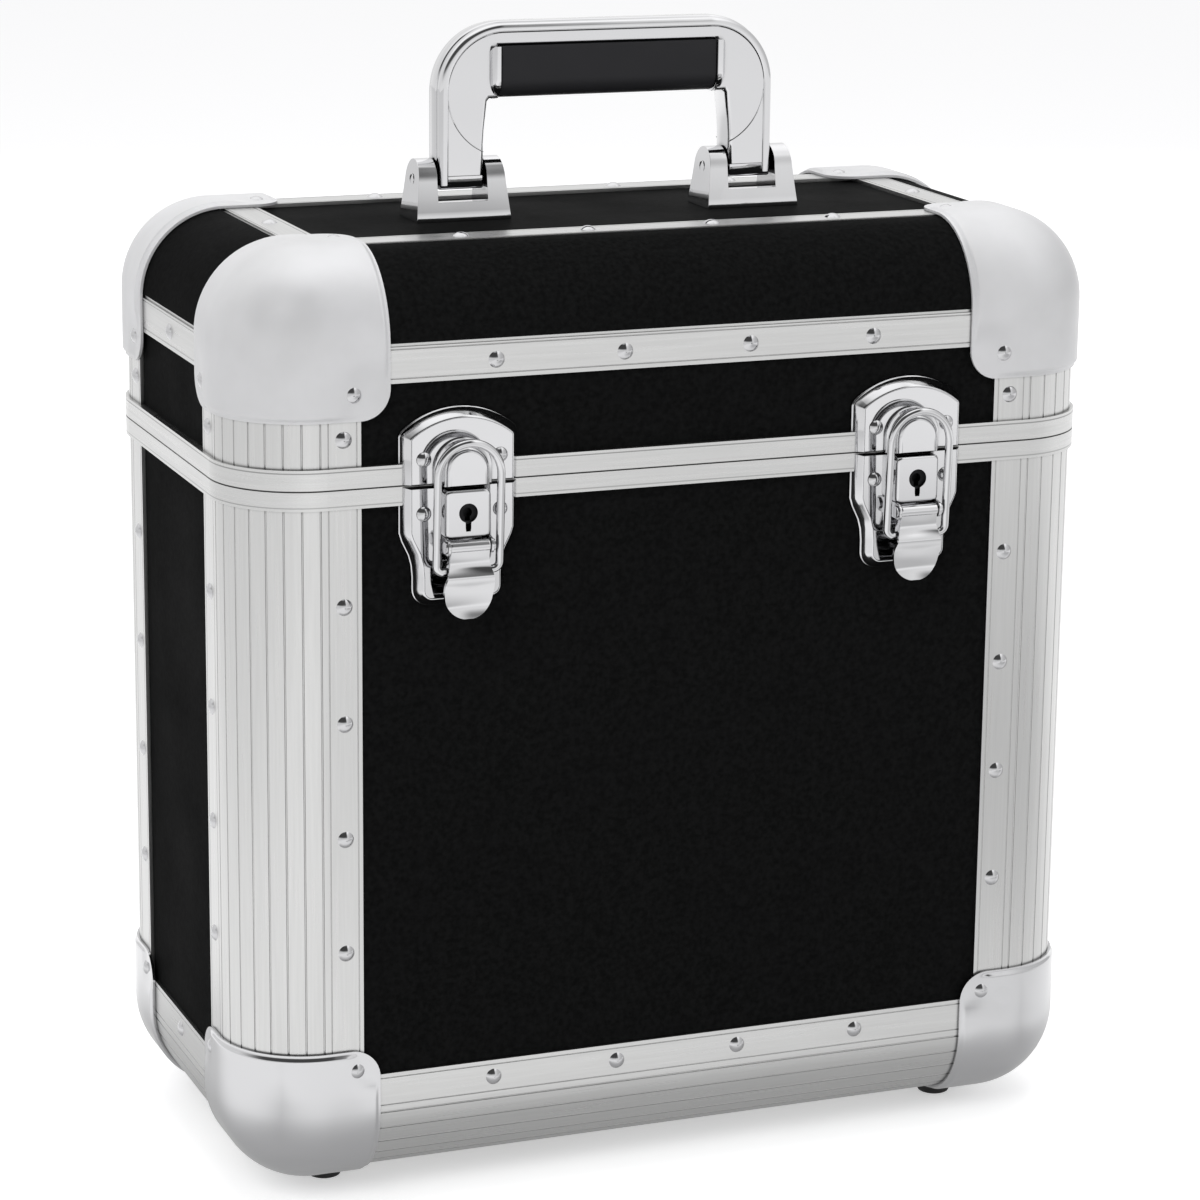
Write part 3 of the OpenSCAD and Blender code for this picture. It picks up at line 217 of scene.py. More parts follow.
def new_group(name, **inputs):
    """A group with these inputs and one output called Value."""
    group = bpy.data.node_groups.new(name, "ShaderNodeTree")
    for title, value in inputs.items():
        kind = "NodeSocketVector" if isinstance(value, tuple) else "NodeSocketFloat"
        socket = group.interface.new_socket(title, in_out="INPUT", socket_type=kind)
        socket.default_value = value
    group.interface.new_socket("Value", in_out="OUTPUT", socket_type="NodeSocketFloat")
    given = group.nodes.new("NodeGroupInput").outputs
    return group, given, group.nodes.new("NodeGroupOutput").inputs["Value"]


print("helpers for nodes are ready")

# %% [markdown]
# The first group is a noise, stretched where a finish has drawn lines. The second paints shade into
# crevices, darkening the colour where ambient occlusion finds them closed. The third paints a dark
# line of shade at a height.

# %% Node groups
NOISE_LOW, NOISE_HIGH = 0.3, 0.7
cloud_group, given, result = new_group("Cloudy variation", Scale=30.0, Detail=4.0, Low=0.0,
                                       High=1.0, Stretch=(1, 1, 1))
place = add(cloud_group, "ShaderNodeTexCoord").outputs["Object"]
stretched = add(cloud_group, "ShaderNodeVectorMath", operation="MULTIPLY")
wire(cloud_group, (place, stretched.inputs[0]), (given["Stretch"], stretched.inputs[1]))
clouds = add(cloud_group, "ShaderNodeTexNoise")
put(cloud_group, clouds, Vector=stretched.outputs[0], Scale=given["Scale"],
    Detail=given["Detail"])
wire(cloud_group, (spread_of(cloud_group, clouds.outputs["Fac"], NOISE_LOW, NOISE_HIGH,
                             given["Low"], given["High"], "LINEAR"), result))

CLOSED = 0.3
# painted shade: the colour is darkened where ambient occlusion finds a crevice
crevice_shade_group, given, result = new_group("Crevices", Distance=0.003, Dark=0.2, Open=0.8)
around = add(crevice_shade_group, "ShaderNodeAmbientOcclusion", samples=8)
put(crevice_shade_group, around, Distance=given["Distance"])
wire(crevice_shade_group, (spread_of(crevice_shade_group, around.outputs["AO"], CLOSED, given["Open"],
                               given["Dark"], 1.0, "LINEAR"), result))

LINE_FROM, LINE_TO = 0.35, 0.65
# painted shade: a dark line at a height, in object space
shade_line_group, given, result = new_group("Ruled lines", Height=0.0, Width=0.0004, Dark=0.4)
split = add(shade_line_group, "ShaderNodeSeparateXYZ")
wire(shade_line_group, (add(shade_line_group, "ShaderNodeTexCoord").outputs["Object"], split.inputs[0]))
off_line = number_of(shade_line_group, "ABSOLUTE", number_of(
    shade_line_group, "SUBTRACT", split.outputs["Z"], given["Height"]))
in_widths = number_of(shade_line_group, "DIVIDE", off_line, given["Width"])
wire(shade_line_group, (spread_of(shade_line_group, in_widths, LINE_FROM, LINE_TO, given["Dark"], 1.0),
                   result))
print("groups:", [group.name for group in (cloud_group, crevice_shade_group, shade_line_group)])

# %% [markdown]
# A material is one Principled shader with two or three of these groups in front of it.
# One helper makes it from a few numbers: clouds that roughen it, two tones that it wanders between,
# the painted shade in its crevices, and waves too low to model.

# %% Helpers that make finishes
def cloudy(tree, scale, detail, low, high, stretch):
    node = add(tree, "ShaderNodeGroup", node_tree=cloud_group)
    return put(tree, node, Scale=scale, Detail=detail, Low=low, High=high, Stretch=stretch)


def shaded_by(name, group, **values):
    """Multiply the Base Color of a finish by the painted shade that a group finds."""
    tree = materials[name].node_tree
    base = tree.nodes["Principled BSDF"].inputs["Base Color"]
    under = base.links[0].from_socket if base.is_linked else tuple(base.default_value)
    shade = put(tree, add(tree, "ShaderNodeGroup", node_tree=group), **values)
    wire(tree, (mixed(tree, 1.0, under, shade, "MULTIPLY"), base))


def make_finish(name, colour, metallic, roughness, worn=None, tones=None, crevice_shade=None,
                waves=None, stretch=(1, 1, 1), **more):
    """Make a material.

    worn: scale, detail, least and most roughness. tones: scale, detail, darkest and
    lightest colour. crevice shade: painted shade in crevices, its reach in millimetres and how
    dark. waves: scale, detail,
    strength, height in millimetres. more: other sockets of the shader.
    """
    material = bpy.data.materials.new(name)
    material.use_nodes = True
    materials[name] = material
    tree = material.node_tree
    shader = tree.nodes["Principled BSDF"]
    put(tree, shader, Base_Color=(*colour, 1), Metallic=metallic, Roughness=roughness, **more)
    if worn:
        put(tree, shader, Roughness=cloudy(tree, *worn, stretch))
    if tones:
        scale, detail, dark, light = tones
        clouds = cloudy(tree, scale, detail, 0, 1, stretch)
        put(tree, shader, Base_Color=mixed(tree, clouds, (*dark, 1), (*light, 1)))
    # painted shade darkens the colour in crevices
    if crevice_shade:
        shaded_by(name, crevice_shade_group, Distance=crevice_shade[0] * MM, Dark=crevice_shade[1])
    if waves:
        scale, detail, strength, height = waves
        put(tree, shader, Normal=put(
            tree, add(tree, "ShaderNodeBump"), Strength=strength, Distance=height * MM,
            Height=cloudy(tree, scale, detail, 0, 1, stretch)))


print("helpers for finishes are ready")

# %% Metals
ALONG, ACROSS = 1, 40
for axis in "xyz":
    make_finish("aluminium_" + axis, (0.61, 0.61, 0.605), 1.0, 0.3, worn=(18, 5, 0.26, 0.34),
                tones=(30, 3, (0.595, 0.595, 0.59), (0.63, 0.63, 0.625)), crevice_shade=(2.0, 0.35),
                waves=(45, 4, 0.1, 0.04), stretch=[ALONG if a == axis else ACROSS for a in "xyz"])
materials["aluminium"] = materials["aluminium_z"]

# each closure frame has two painted lines of shade, one in the seam and one for a fine groove: from
# which edge, how far, how dark
FRAME_SHADE_LINES = {"lid": ((max, -1.3, 0.5), (min, 0.05, 0.12)),
               "body": ((max, -0.05, 0.2), (min, 1.3, 0.65))}
for part, lines in FRAME_SHADE_LINES.items():
    name = "frame_" + part
    make_finish(name, (0.61, 0.61, 0.605), 1.0, 0.3, worn=(18, 5, 0.24, 0.32),
                tones=(30, 3, (0.6, 0.6, 0.595), (0.635, 0.635, 0.63)), crevice_shade=(2.0, 0.3),
                stretch=(1, 1, ACROSS))
    # paint a line of shade at each of the frame's heights
    for edge, away, dark in lines:
        height = edge(v.co.z for v in nodes[part + "_closure_frame"].data.vertices) + away * MM
        shaded_by(name, shade_line_group, Height=height, Width=0.5 * MM, Dark=dark)

make_finish("satin_corner", (0.6, 0.6, 0.61), 0.2, 0.34, worn=(35, 4, 0.3, 0.38),
            tones=(26, 4, (0.56, 0.56, 0.565), (0.64, 0.64, 0.65)), crevice_shade=(2.0, 0.35),
            waves=(20, 1, 0.6, 1.0))
make_finish("polished_corner", (0.6, 0.6, 0.61), 1.0, 0.08, worn=(40, 4, 0.05, 0.12),
            crevice_shade=(2.0, 0.3), waves=(28, 1, 0.7, 1.0))
make_finish("latch_chrome", (0.62, 0.62, 0.63), 1.0, 0.06, worn=(60, 4, 0.03, 0.09),
            crevice_shade=(3.0, 0.12))
make_finish("handle_chrome", (0.64, 0.64, 0.65), 1.0, 0.06, worn=(60, 4, 0.04, 0.1),
            crevice_shade=(3.0, 0.12), waves=(32, 1, 0.07, 1.0))
make_finish("rivet_steel", (0.55, 0.55, 0.56), 1.0, 0.12, worn=(300, 4, 0.06, 0.16),
            crevice_shade=(1.5, 0.2))
# the lock plug behind the keyhole is painted near black, standing for the shade deep in the hole
make_finish("lock_steel", (0.02, 0.02, 0.021), 1.0, 0.5, worn=(300, 4, 0.4, 0.6))
make_finish("hinge_steel", (0.58, 0.58, 0.6), 1.0, 0.25, worn=(120, 4, 0.2, 0.34),
            crevice_shade=(2.0, 0.25))
print("metals:", len(materials))

# %% Laminate, felt, rubber and grip
make_finish("laminate", (0.006, 0.006, 0.006), 0.0, 0.48, worn=(25, 4, 0.42, 0.55),
            tones=(500, 2, (0.0045, 0.0046, 0.0046), (0.008, 0.0082, 0.0082)),
            waves=(1800, 3, 0.25, 0.03), Specular_IOR_Level=0.002)
make_finish("felt", (0.05, 0.05, 0.055), 0.0, 0.95,
            tones=(900, 6, (0.03, 0.03, 0.034), (0.085, 0.085, 0.092)),
            waves=(1400, 8, 0.8, 0.5), Sheen_Weight=0.35)
make_finish("rubber", (0.018, 0.018, 0.018), 0.0, 0.6, worn=(200, 4, 0.5, 0.7),
            waves=(900, 4, 0.2, 0.1))
make_finish("grip", (0.022, 0.022, 0.024), 0.0, 0.38, worn=(80, 4, 0.36, 0.5),
            waves=(2500, 4, 0.35, 0.05), Specular_IOR_Level=0.12)
print("finishes:", sorted(materials))

# %% [markdown]
# The panels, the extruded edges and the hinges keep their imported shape, because their
# real surfaces are flat or drawn in one direction. Each gets its finish by name. The
# drawn lines of an extrusion run along its length, so the three directions have a
# material each.

# %% Finish the parts that keep their shape
slot_of = {row["node"]: row["material_slot"] for row in frame["record"]["subparts"]}
for name, obj in nodes.items():
    look = slot_of[name]
    if look == "aluminium":
        axis = "z" if "corner" in name else "x" if name.endswith(("front", "back")) else "y"
        look = "frame_" + name.split("_")[0] if "closure" in name else "aluminium_" + axis
    obj.data.materials.clear()
    obj.data.materials.append(materials[look])
print("packed parts finished:", len(nodes))

# %% [markdown]
# ## Ball corners
# A ball corner is pressed from one sheet. Three ears lie flat on the panels, three
# quarter tubes follow the rounded edges, and an eighth of a ball joins them. A plain
# sphere and boxes would show seams, so the skin is one grid per face, bent from flat
# ear to tube to ball without a break. A second rule lifts the crowned middle above a
# narrow flat rim, and leaves a flat landing for the rivet.

# %% Ball corner skin
SHEET, CLEARANCE = 1.2, 0.05
EAR_R = 12
CROWN_FALL = 1.3
LANDING_END = 11
FINE_ZONE, BENT_STEPS, FLAT_STEPS = 4, 10, 8


def ticks(span, rim):
    """Places across a corner: 45 degrees of the rounding, the flat, then finely to the edge."""
    near_edge = span - rim - FINE_ZONE
    bent = [-1 + k / BENT_STEPS for k in range(BENT_STEPS)]
    flat = [near_edge * k / FLAT_STEPS for k in range(FLAT_STEPS + 1)]
    edge = [near_edge + (rim + FINE_ZONE) * k / FLAT_STEPS for k in range(1, FLAT_STEPS + 1)]
    return bent + flat + edge


def corner_point(a, b, spans, rims, crown, landing):
    """A point of the skin on the face whose normal is -Z in the corner's own frame."""
    lean = Vector((*(-math.tan(math.radians(45 * max(0.0, -t))) for t in (a, b)), -1))
    lean.normalize()
    u, v = max(0.0, a), max(0.0, b)
    lift = 1.0
    for t, span, rim in ((u, spans[0], rims[0]), (v, spans[1], rims[1])):
        lift *= 1 - step(t, span - rim - CROWN_FALL, span - rim)
    near = u * v / max(1e-6, math.hypot(u, v))
    lift *= 1 - step(near, landing, LANDING_END)
    # the outer corner of an ear is rounded
    ru, rv = (u - spans[0] + EAR_R) / EAR_R, (v - spans[1] + EAR_R) / EAR_R
    if ru > 0 and rv > 0:
        u = spans[0] - EAR_R + EAR_R * ru * math.sqrt(1 - rv * rv / 2)
        v = spans[1] - EAR_R + EAR_R * rv * math.sqrt(1 - ru * ru / 2)
    root = Vector((EDGE_R + u, EDGE_R + v, EDGE_R))
    return root + lean * (EDGE_R + SHEET + crown * lift)


def ball_corner(name, signs, reach, rims, crown, landing, finish, body, node):
    points, faces = [], []
    for order in (0, 1, 2), (1, 2, 0), (2, 0, 1):
        spans = [reach[k] - EDGE_R for k in order[:2]]
        edge = [rims[k] for k in order[:2]]
        us, vs = ticks(spans[0], edge[0]), ticks(spans[1], edge[1])
        start = len(points)
        for a in us:
            for b in vs:
                p = corner_point(a, b, spans, edge, crown, landing)
                local = [0, 0, 0]
                for k in range(3):
                    local[order[k]] = p[k]
                points.append((signs[0] * (HALF_W - local[0]),
                               MID_Y + signs[1] * (HALF_D - local[1]),
                               TOP_Z - local[2] if signs[2] > 0 else FLOOR_Z + local[2]))
        for i in range(len(us) - 1):
            for j in range(len(vs) - 1):
                k = start + i * len(vs) + j
                faces.append((k, k + 1, k + 1 + len(vs), k + len(vs)))
    obj = piece_from(name, points, faces, finish, body, [node])
    turn_outward(obj, signs)
    thicken(obj, SHEET - CLEARANCE)
    soften(obj, 0.35, 2, 50)


for side, sx in SIDES.items():
    for end, sy in ENDS.items():
        where = end + "_" + side
        ball_corner("Top_ball_corner_" + where, (sx, sy, 1), reach=(60, 55, 62),
                    rims=(1.0, 3.2, 0.9), crown=1.1, landing=4.0, finish="satin_corner",
                    body="lid", node="top_corner_" + where)
        ball_corner("Bottom_ball_corner_" + where, (sx, sy, -1), reach=(55, 55, 60),
                    rims=(1.0, 1.2, 1.0), crown=0.9, landing=6.5, finish="polished_corner",
                    body="body", node="bottom_corner_" + where)

# %% [markdown]
# ## Outlines
# Sheet parts such as latch plates start as an outline that a press gives depth. Moving
# the outline inward while it rises makes the sloped wall and the soft shoulder of a
# pressed part, which catch the light the way chrome does. The same idea makes the
# handle, the grip and the housing of the lock.

# %% Outline helpers
SHARPEST = 0.35


def arc(cx, cy, r, start, end, steps=8):
    """Points on a circle between two directions in degrees."""
    turns = [math.radians(start + (end - start) * k / steps) for k in range(steps + 1)]
    return [(cx + r * math.cos(t), cy + r * math.sin(t)) for t in turns]


def moved_in(outline, inset, hold=None):
    """A counter-clockwise outline moved inward; hold(x, y) tells how much a point moves."""
    moved = []
    count = len(outline)
    for k, (x, y) in enumerate(outline):
        before, after = outline[k - 1], outline[(k + 1) % count]
        one = Vector((y - before[1], before[0] - x))
        two = Vector((after[1] - y, x - after[0]))
        if one.length < 1e-9:
            one = two
        if two.length < 1e-9:
            two = one
        one.normalize()
        two.normalize()
        shift = -(one + two) / max(SHARPEST, 1 + one.dot(two)) * inset
        keep = hold(x, y) if hold else (1, 1)
        moved.append((x + shift.x * keep[0], y + shift.y * keep[1]))
    return moved


def pressed(name, outline, walls, place, finish, body, stands_for=(), hold=None, hole=None):
    """Rings of (inset, height) from foot to face; a hole is an outline with its depth."""
    rings = [[place(x, y, out) for x, y in moved_in(outline, inset, hold)] for inset, out in walls]
    if hole:
        hole_outline, depth = hole
        top, lip = walls[-1][1], 0.15
        rings += [[place(x, y, out) for x, y in hole_outline]
                  for out in (top, top - lip, top - depth)]
    points, faces = loft(rings)
    faces = faces[:-2] + ([] if hole else faces[-1:])
    piece_from(name, points, faces, finish, body, stands_for)


def tube(name, path, radius, finish, body, stands_for=(), sides=16):
    """A round wire along a path, with softly closed ends."""
    spine = [Vector(p) for p in path]
    rings = []
    across_wire = (spine[1] - spine[0]).normalized().orthogonal().normalized()
    last = len(spine) - 1
    turns = [2 * math.pi * s / sides for s in range(sides)]
    # how far past the end, and how wide, in parts of the radius
    first_end, last_end = [(-0.6, 0.55), (-0.3, 0.88)], [(0.3, 0.88), (0.6, 0.55)]
    for k, p in enumerate(spine):
        way_on = (spine[min(k + 1, last)] - spine[max(k - 1, 0)]).normalized()
        across_wire = (across_wire - way_on * across_wire.dot(way_on)).normalized()
        up_wire = way_on.cross(across_wire)
        ends = (first_end if k == 0 else []) + [(0, 1)] + (last_end if k == last else [])
        for pull, size in ends:
            centre = p + way_on * pull * radius
            rings.append([centre + (across_wire * math.cos(t) + up_wire * math.sin(t))
                          * radius * size for t in turns])
    piece_from(name, *loft(rings), finish, body, stands_for)


print("a quarter circle:", [tuple(round(v, 2) for v in p) for p in arc(0, 0, 1, 0, 90, 2)])

# %% [markdown]
# ## Handle
# The real handle is a plated casting. Its flat legs and bar are framed by a rounded rim,
# and a black grip sits under the bar between two plated lips. The rim is one section
# swept along legs, corners and bar, and the flat core is an outline with soft edges
# inside it.

# %% Handle core
pin_low, pin_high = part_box("handle_pins")
frame_low, frame_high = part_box("handle_frame")
grip_low, grip_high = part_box("handle_grip")
PIVOT_Z = (pin_low.z + pin_high.z) / 2 / MM
LEG_OUT = frame_high.x / MM
RISE = frame_high.z / MM - PIVOT_Z
LEG_W, BAR_T, CORNER_R = 19.5, 9.5, 28
FACE_STEP, CORE_INSET = 0.6, 2.2
GRIP_HALF = grip_high.x / MM
GRIP_DEPTH = (grip_high.y - grip_low.y) / 2 / MM
GRIP_H = (grip_high.z - grip_low.z) / MM
half_bar = (frame_high.y - frame_low.y) / 2 / MM
leg_in = LEG_OUT - LEG_W
corner_x, corner_z = LEG_OUT - CORNER_R, RISE - CORNER_R
print("handle:", round(2 * LEG_OUT, 1), "wide, rises", round(RISE, 1))


def on_handle(x, z, y):
    return Vector((x, MID_Y + y, PIVOT_Z + z))


def core_outline():
    out, low = LEG_OUT - CORE_INSET, RISE - BAR_T - GRIP_H
    right_half = ([(leg_in, 0), (out, 0), (out, corner_z / 2)]
                  + arc(corner_x, corner_z, CORNER_R - CORE_INSET, 0, 90, 20))
    left_half = [(-x, z) for x, z in reversed(right_half)]
    inner = [(-leg_in, 14), (-leg_in + 0.4, 20), (-leg_in + 1.6, low - 1), (-leg_in + 2.4, low),
             (-GRIP_HALF, low), (-GRIP_HALF, RISE - BAR_T)]
    return right_half + left_half + inner + [(-x, z) for x, z in reversed(inner)]


outline = core_outline()
face = half_bar - FACE_STEP
levels = [(1.9, -face), (1.7, -face), (0.9, -face + 0.2), (0.25, -face + 0.8), (0, -face + 1.8)]
levels += [(inset, -y) for inset, y in reversed(levels)]
rings = [[on_handle(x, z, y) for x, z in moved_in(outline, inset)] for inset, y in levels]
piece_from("Handle_core", *loft(rings), "handle_chrome", "handle", ["handle_frame"])

# %% Handle rim
# the section, as (outward, forward): a small step, a round shoulder and a soft inner edge
section = [(0, 0), (0, 2.5), (-0.12, 2.9), (-0.45, 3.15), (-0.6, 3.3)]
section += arc(-2.6, half_bar - 2.0, 2.0, 0, 90, 8)
section += [(out, half_bar - down) for out, down in
            ((-3.6, 0), (-4.1, 0.2), (-4.45, 0.75), (-4.5, 1.6), (-4.5, half_bar))]
section += [(r, -y) for r, y in reversed(section[1:-1])]
# the way it is swept, as (x, z, direction it faces)
way = [(-LEG_OUT, z, 180) for z in (-2.0, 6, corner_z - 1)]
way += [(x, z, 180 - 3 * k) for k, (x, z) in
        enumerate(arc(-corner_x, corner_z, CORNER_R, 180, 90, 30))]
way += [(-x, z, 180 - a) for x, z, a in reversed(way)]
rings = []
for x, z, a in way:
    out = Vector((math.cos(math.radians(a)), 0, math.sin(math.radians(a))))
    rings.append([on_handle(x, z, y) + out * r for r, y in section])
piece_from("Handle_rim", *loft(rings), "handle_chrome", "handle")
print("rim:", len(rings), "rings of", len(section))

# %% Lower ends of the legs, lips beside the grip, and the curved line
for side, s in SIDES.items():
    rings = []
    for x, narrow in ((leg_in + 0.3, 0.5), (leg_in + 0.8, 0), (LEG_OUT - 1.6, 0),
                      (LEG_OUT - 1.0, 0.5)):
        r = face - narrow
        heel = [(-r, 1.5), (-r, -2.6), (-r + 0.3, -3.3), (-r + 1.1, -3.7)]
        heel += [(-y, z) for y, z in reversed(heel)]
        rings.append([on_handle(s * x, z, y) for y, z in heel])
    piece_from("Handle_leg_end_" + side, *loft(rings), "handle_chrome", "handle")


def grip_outline():
    half_flat = 1
    corner = GRIP_DEPTH - half_flat
    low = corner - GRIP_H
    return ([(GRIP_DEPTH, 0), (-GRIP_DEPTH, 0)] + arc(-half_flat, low, corner, 180, 270, 10)
            + arc(half_flat, low, corner, 270, 360, 10))


def grip_ring(x, grow):
    return [on_handle(x, RISE - BAR_T + min(z, 0), y) for y, z in moved_in(grip_outline(), -grow)]


for side, s in SIDES.items():
    lip = [(-0.1, -1.0), (0, 0.4), (0.35, 0.75), (1.9, 0.75), (2.6, 0.35), (3.4, -0.6), (4.6, -2.6)]
    rings = [grip_ring(s * (GRIP_HALF + x), grow) for x, grow in lip]
    piece_from("Handle_lip_" + side, *loft(rings), "handle_chrome", "handle")
    for end, e in ENDS.items():
        line = [on_handle(s * x, z, e * (face - 0.02))
                for x, z in arc(leg_in - 9.8, 34, 25.1, -66, -5, 20)]
        tube("Handle_line_" + side + "_" + end, line, 0.22, "handle_chrome", "handle", sides=8)
print("legs:", LEG_W, "wide, lips beside a grip of", round(2 * GRIP_HALF, 1))

# %% [markdown]
# The grip is a black sleeve with a flat front, a rounded belly and softly closed ends.
# Its fine grain comes from its material.

# %% Grip
steps = [(-GRIP_HALF + 0.05, -0.7), (-GRIP_HALF + 0.3, -0.25), (-GRIP_HALF + 0.9, 0)]
steps += [(x, 0) for x in (-GRIP_HALF / 2, 0, GRIP_HALF / 2)]
steps += [(-x, grow) for x, grow in reversed(steps[:3])]
piece_from("Grip", *loft([grip_ring(x, grow) for x, grow in steps]), "grip", "handle",
           ["handle_grip"])
print("grip:", len(steps), "rings")

# %% [markdown]
# Each foot of the handle is a small casting: a base that flares to its toe, and two ears
# with round tops that hold the pin. A grid of cells, with the slot left out, gives every
# wall in one go, and a small bevel rounds all its edges as a casting has them.

# %% Handle feet
FOOT_W, FOOT_D, SILL = 40.0, 22.0, 7.7
FOOT_TAPER, BAR_D, PLINTH = 2.4, 4, 2
foot_low, foot_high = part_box("handle_foot_left")
FOOT_X = (foot_low.x + foot_high.x) / 2 / MM
foot_base = foot_low.z / MM
foot_height = (foot_high.z - foot_low.z) / MM
pivot_up = PIVOT_Z - foot_base
ear_round = foot_height - pivot_up
SLOT = LEG_W / 2 + 0.8


def foot_depth(z):
    """Half the depth at a height: an upright plinth, a slope, then the round ear."""
    if z <= PLINTH:
        return FOOT_D / 2
    if z <= pivot_up:
        t = (z - PLINTH) / (pivot_up - PLINTH)
        return FOOT_D / 2 + (ear_round - FOOT_D / 2) * (1.25 * t - 0.25 * t * t)
    return math.sqrt(max(0.04, ear_round ** 2 - (z - pivot_up) ** 2))


def foot_width(z):
    return FOOT_W / 2 - FOOT_TAPER * z / foot_height


levels = [0, 0.8, PLINTH, 4, SILL, 10, 13, pivot_up]
levels += [pivot_up + ear_round * math.sin(math.radians(a)) for a in (15, 30, 45, 58, 70, 80, 86)]
sill_row = levels.index(SILL)
SQUARE = ((0, 0), (1, 0), (1, 1), (0, 1))
DEPTHS, WIDTHS = 3, 4


def in_foot(row, depth, column):
    """A foot is made of cells: two ears, and a low bar that joins them at the front."""
    if not (0 <= row < len(levels) - 1 and 0 <= depth < 2 and 0 <= column < 3):
        return False
    return column != 1 or (row < sill_row and depth == 0)


def foot_walls():
    """The walls of all cells that have no cell beside them, as corners of the grid."""
    walls = []
    for cell in itertools.product(range(len(levels) - 1), range(2), range(3)):
        for axis, way in itertools.product(range(3), (-1, 1)):
            beside = list(cell)
            beside[axis] += way
            if not in_foot(*cell) or in_foot(*beside):
                continue
            wall = []
            for u, v in SQUARE:
                corner = list(cell)
                corner[axis] += max(way, 0)
                corner[(axis + 1) % 3] += u
                corner[(axis + 2) % 3] += v
                wall.append((corner[0] * DEPTHS + corner[1]) * WIDTHS + corner[2])
            walls.append(wall)
    return walls


for side, s in SIDES.items():
    middle = s * abs(FOOT_X)
    points = [(middle + x, MID_Y + y, foot_base + z) for z in levels
              for y in (-foot_depth(z), -foot_depth(z) + min(BAR_D, foot_depth(z)), foot_depth(z))
              for x in (-foot_width(z), -SLOT, SLOT, foot_width(z))]
    name = "handle_foot_" + side
    soften(piece_from(name.capitalize(), points, foot_walls(), "handle_chrome", "lid", [name]),
           1.1, 4, 40)
    for end in (-1, 1):
        x = middle + end * (foot_width(pivot_up) + 0.02)
        ring = [Vector((x, MID_Y + y, PIVOT_Z + z)) for y, z in arc(0, 0, 2.3, 0, 345, 23)]
        tube("Pin_ring_" + side + ("_out" if end * s > 0 else "_in"), ring + ring[:1], 0.18,
             "handle_chrome", "lid", sides=6)
print("feet at", round(FOOT_X, 1), "height", round(foot_height, 1))

# %% [markdown]
# ## Latches
# A toggle latch has a plate on the body and one on the lid, each pressed into a shallow
# tray with sloping walls. The lid plate carries a round-topped catch, the body plate the
# lock housing with its keyhole. A wire bail hangs on the lever and closes over the catch.

# %% Latch plates
PLATE_W, BOSS_W, BOSS_OUT, BOSS_LOW, BOSS_HIGH = 48.4, 18.7, 12.0, -19.8, -0.6
PLATE_DOWN, PLATE_UP, SHOULDER, FOOT_PLATE_W = 48.0, 29.8, 20.3, 38.0
LATCH_X = (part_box("latch_plate_left")[0].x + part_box("latch_plate_left")[1].x) / 2 / MM
# walls from foot to face, as (how far inward, how far out from the case)
TRAY = [(0, -1.4), (0, -0.2), (0.08, 0), (0.3, 0.12), (0.55, 0.6), (0.95, 1.3), (1.4, 2.05),
        (1.9, 2.8), (2.4, 3.5), (2.85, 4.15), (3.2, 4.65), (3.45, 4.9), (3.65, 4.93), (3.8, 4.73),
        (3.95, 4.7), (4.1, 4.7)]
CATCH = [(-2.5, 4.5), (-2.4, 5.7), (-2.0, 6.2), (-1.0, 6.3), (-0.4, 6.45), (0, 7.0), (0.1, 9.7),
         (0.45, 10.7), (1.2, 11.5), (2.0, 11.88), (2.3, 11.9), (2.5, 11.9)]
HOUSING = [(-0.9, 4.5), (-0.3, 5.15), (0, 5.8), (0, 10.8), (0.3, 11.55), (0.8, 11.9),
           (1.2, BOSS_OUT), (1.4, BOSS_OUT)]
TURNS = 96


def body_plate_outline():
    wide, slim, r = PLATE_W / 2, FOOT_PLATE_W / 2, 7
    right = arc(slim - r, r - PLATE_DOWN, r, 270, 360)
    right += [(slim, -36), (slim + 0.4, -31.5), (slim + 1.4, -27.6), (wide - 1.1, -22),
              (wide, -18.6), (wide, -10), (wide, -0.2)]
    return right + [(-x, z) for x, z in reversed(right)]


def lid_plate_outline():
    half, rise = PLATE_W / 2, PLATE_UP - SHOULDER
    r = (half ** 2 + rise ** 2) / (2 * rise)
    reach = math.degrees(math.asin((half - 1) / r))
    return ([(-half, 0.5), (half, 0.5), (half, SHOULDER - 1.2)]
            + arc(0, PLATE_UP - r, r, 90 - reach, 90 + reach, 24) + [(-half, SHOULDER - 1.2)])


def catch_outline():
    half, low, high = BOSS_W / 2, 0.7, 16
    return [(-half, low), (half, low)] + arc(0, high - half, half, 0, 180, 28)


def housing_outline():
    r = 2.0
    x, low, high = BOSS_W / 2 - r, BOSS_LOW + r, BOSS_HIGH - r
    return (arc(x, low, r, 270, 360, 4) + arc(x, high, r, 0, 90, 4)
            + arc(-x, high, r, 90, 180, 4) + arc(-x, low, r, 180, 270, 4))


def seen_from(outline, cx, cy):
    """The outline's points in equal turns about a centre, so that two outlines can be joined."""
    found = []
    for k in range(TURNS):
        a = 2 * math.pi * k / TURNS
        dx, dy = math.cos(a), math.sin(a)
        best = 0
        for i, (x1, y1) in enumerate(outline):
            x2, y2 = outline[(i + 1) % len(outline)]
            ex, ey = x2 - x1, y2 - y1
            det = dx * ey - dy * ex
            if abs(det) < 1e-9:
                continue
            t = ((x1 - cx) * ey - (y1 - cy) * ex) / det
            u = ((x1 - cx) * dy - (y1 - cy) * dx) / det
            if t > 0 and -1e-6 <= u <= 1 + 1e-6:
                best = max(best, t)
        found.append((cx + dx * best, cy + dy * best))
    return found


def on_latch_of(s):
    """How places on a latch are found: across, up from the seam, out from the case."""
    return lambda x, z, out: Vector((s * abs(LATCH_X) + x, FRONT_Y - out, SEAM_Z + z))


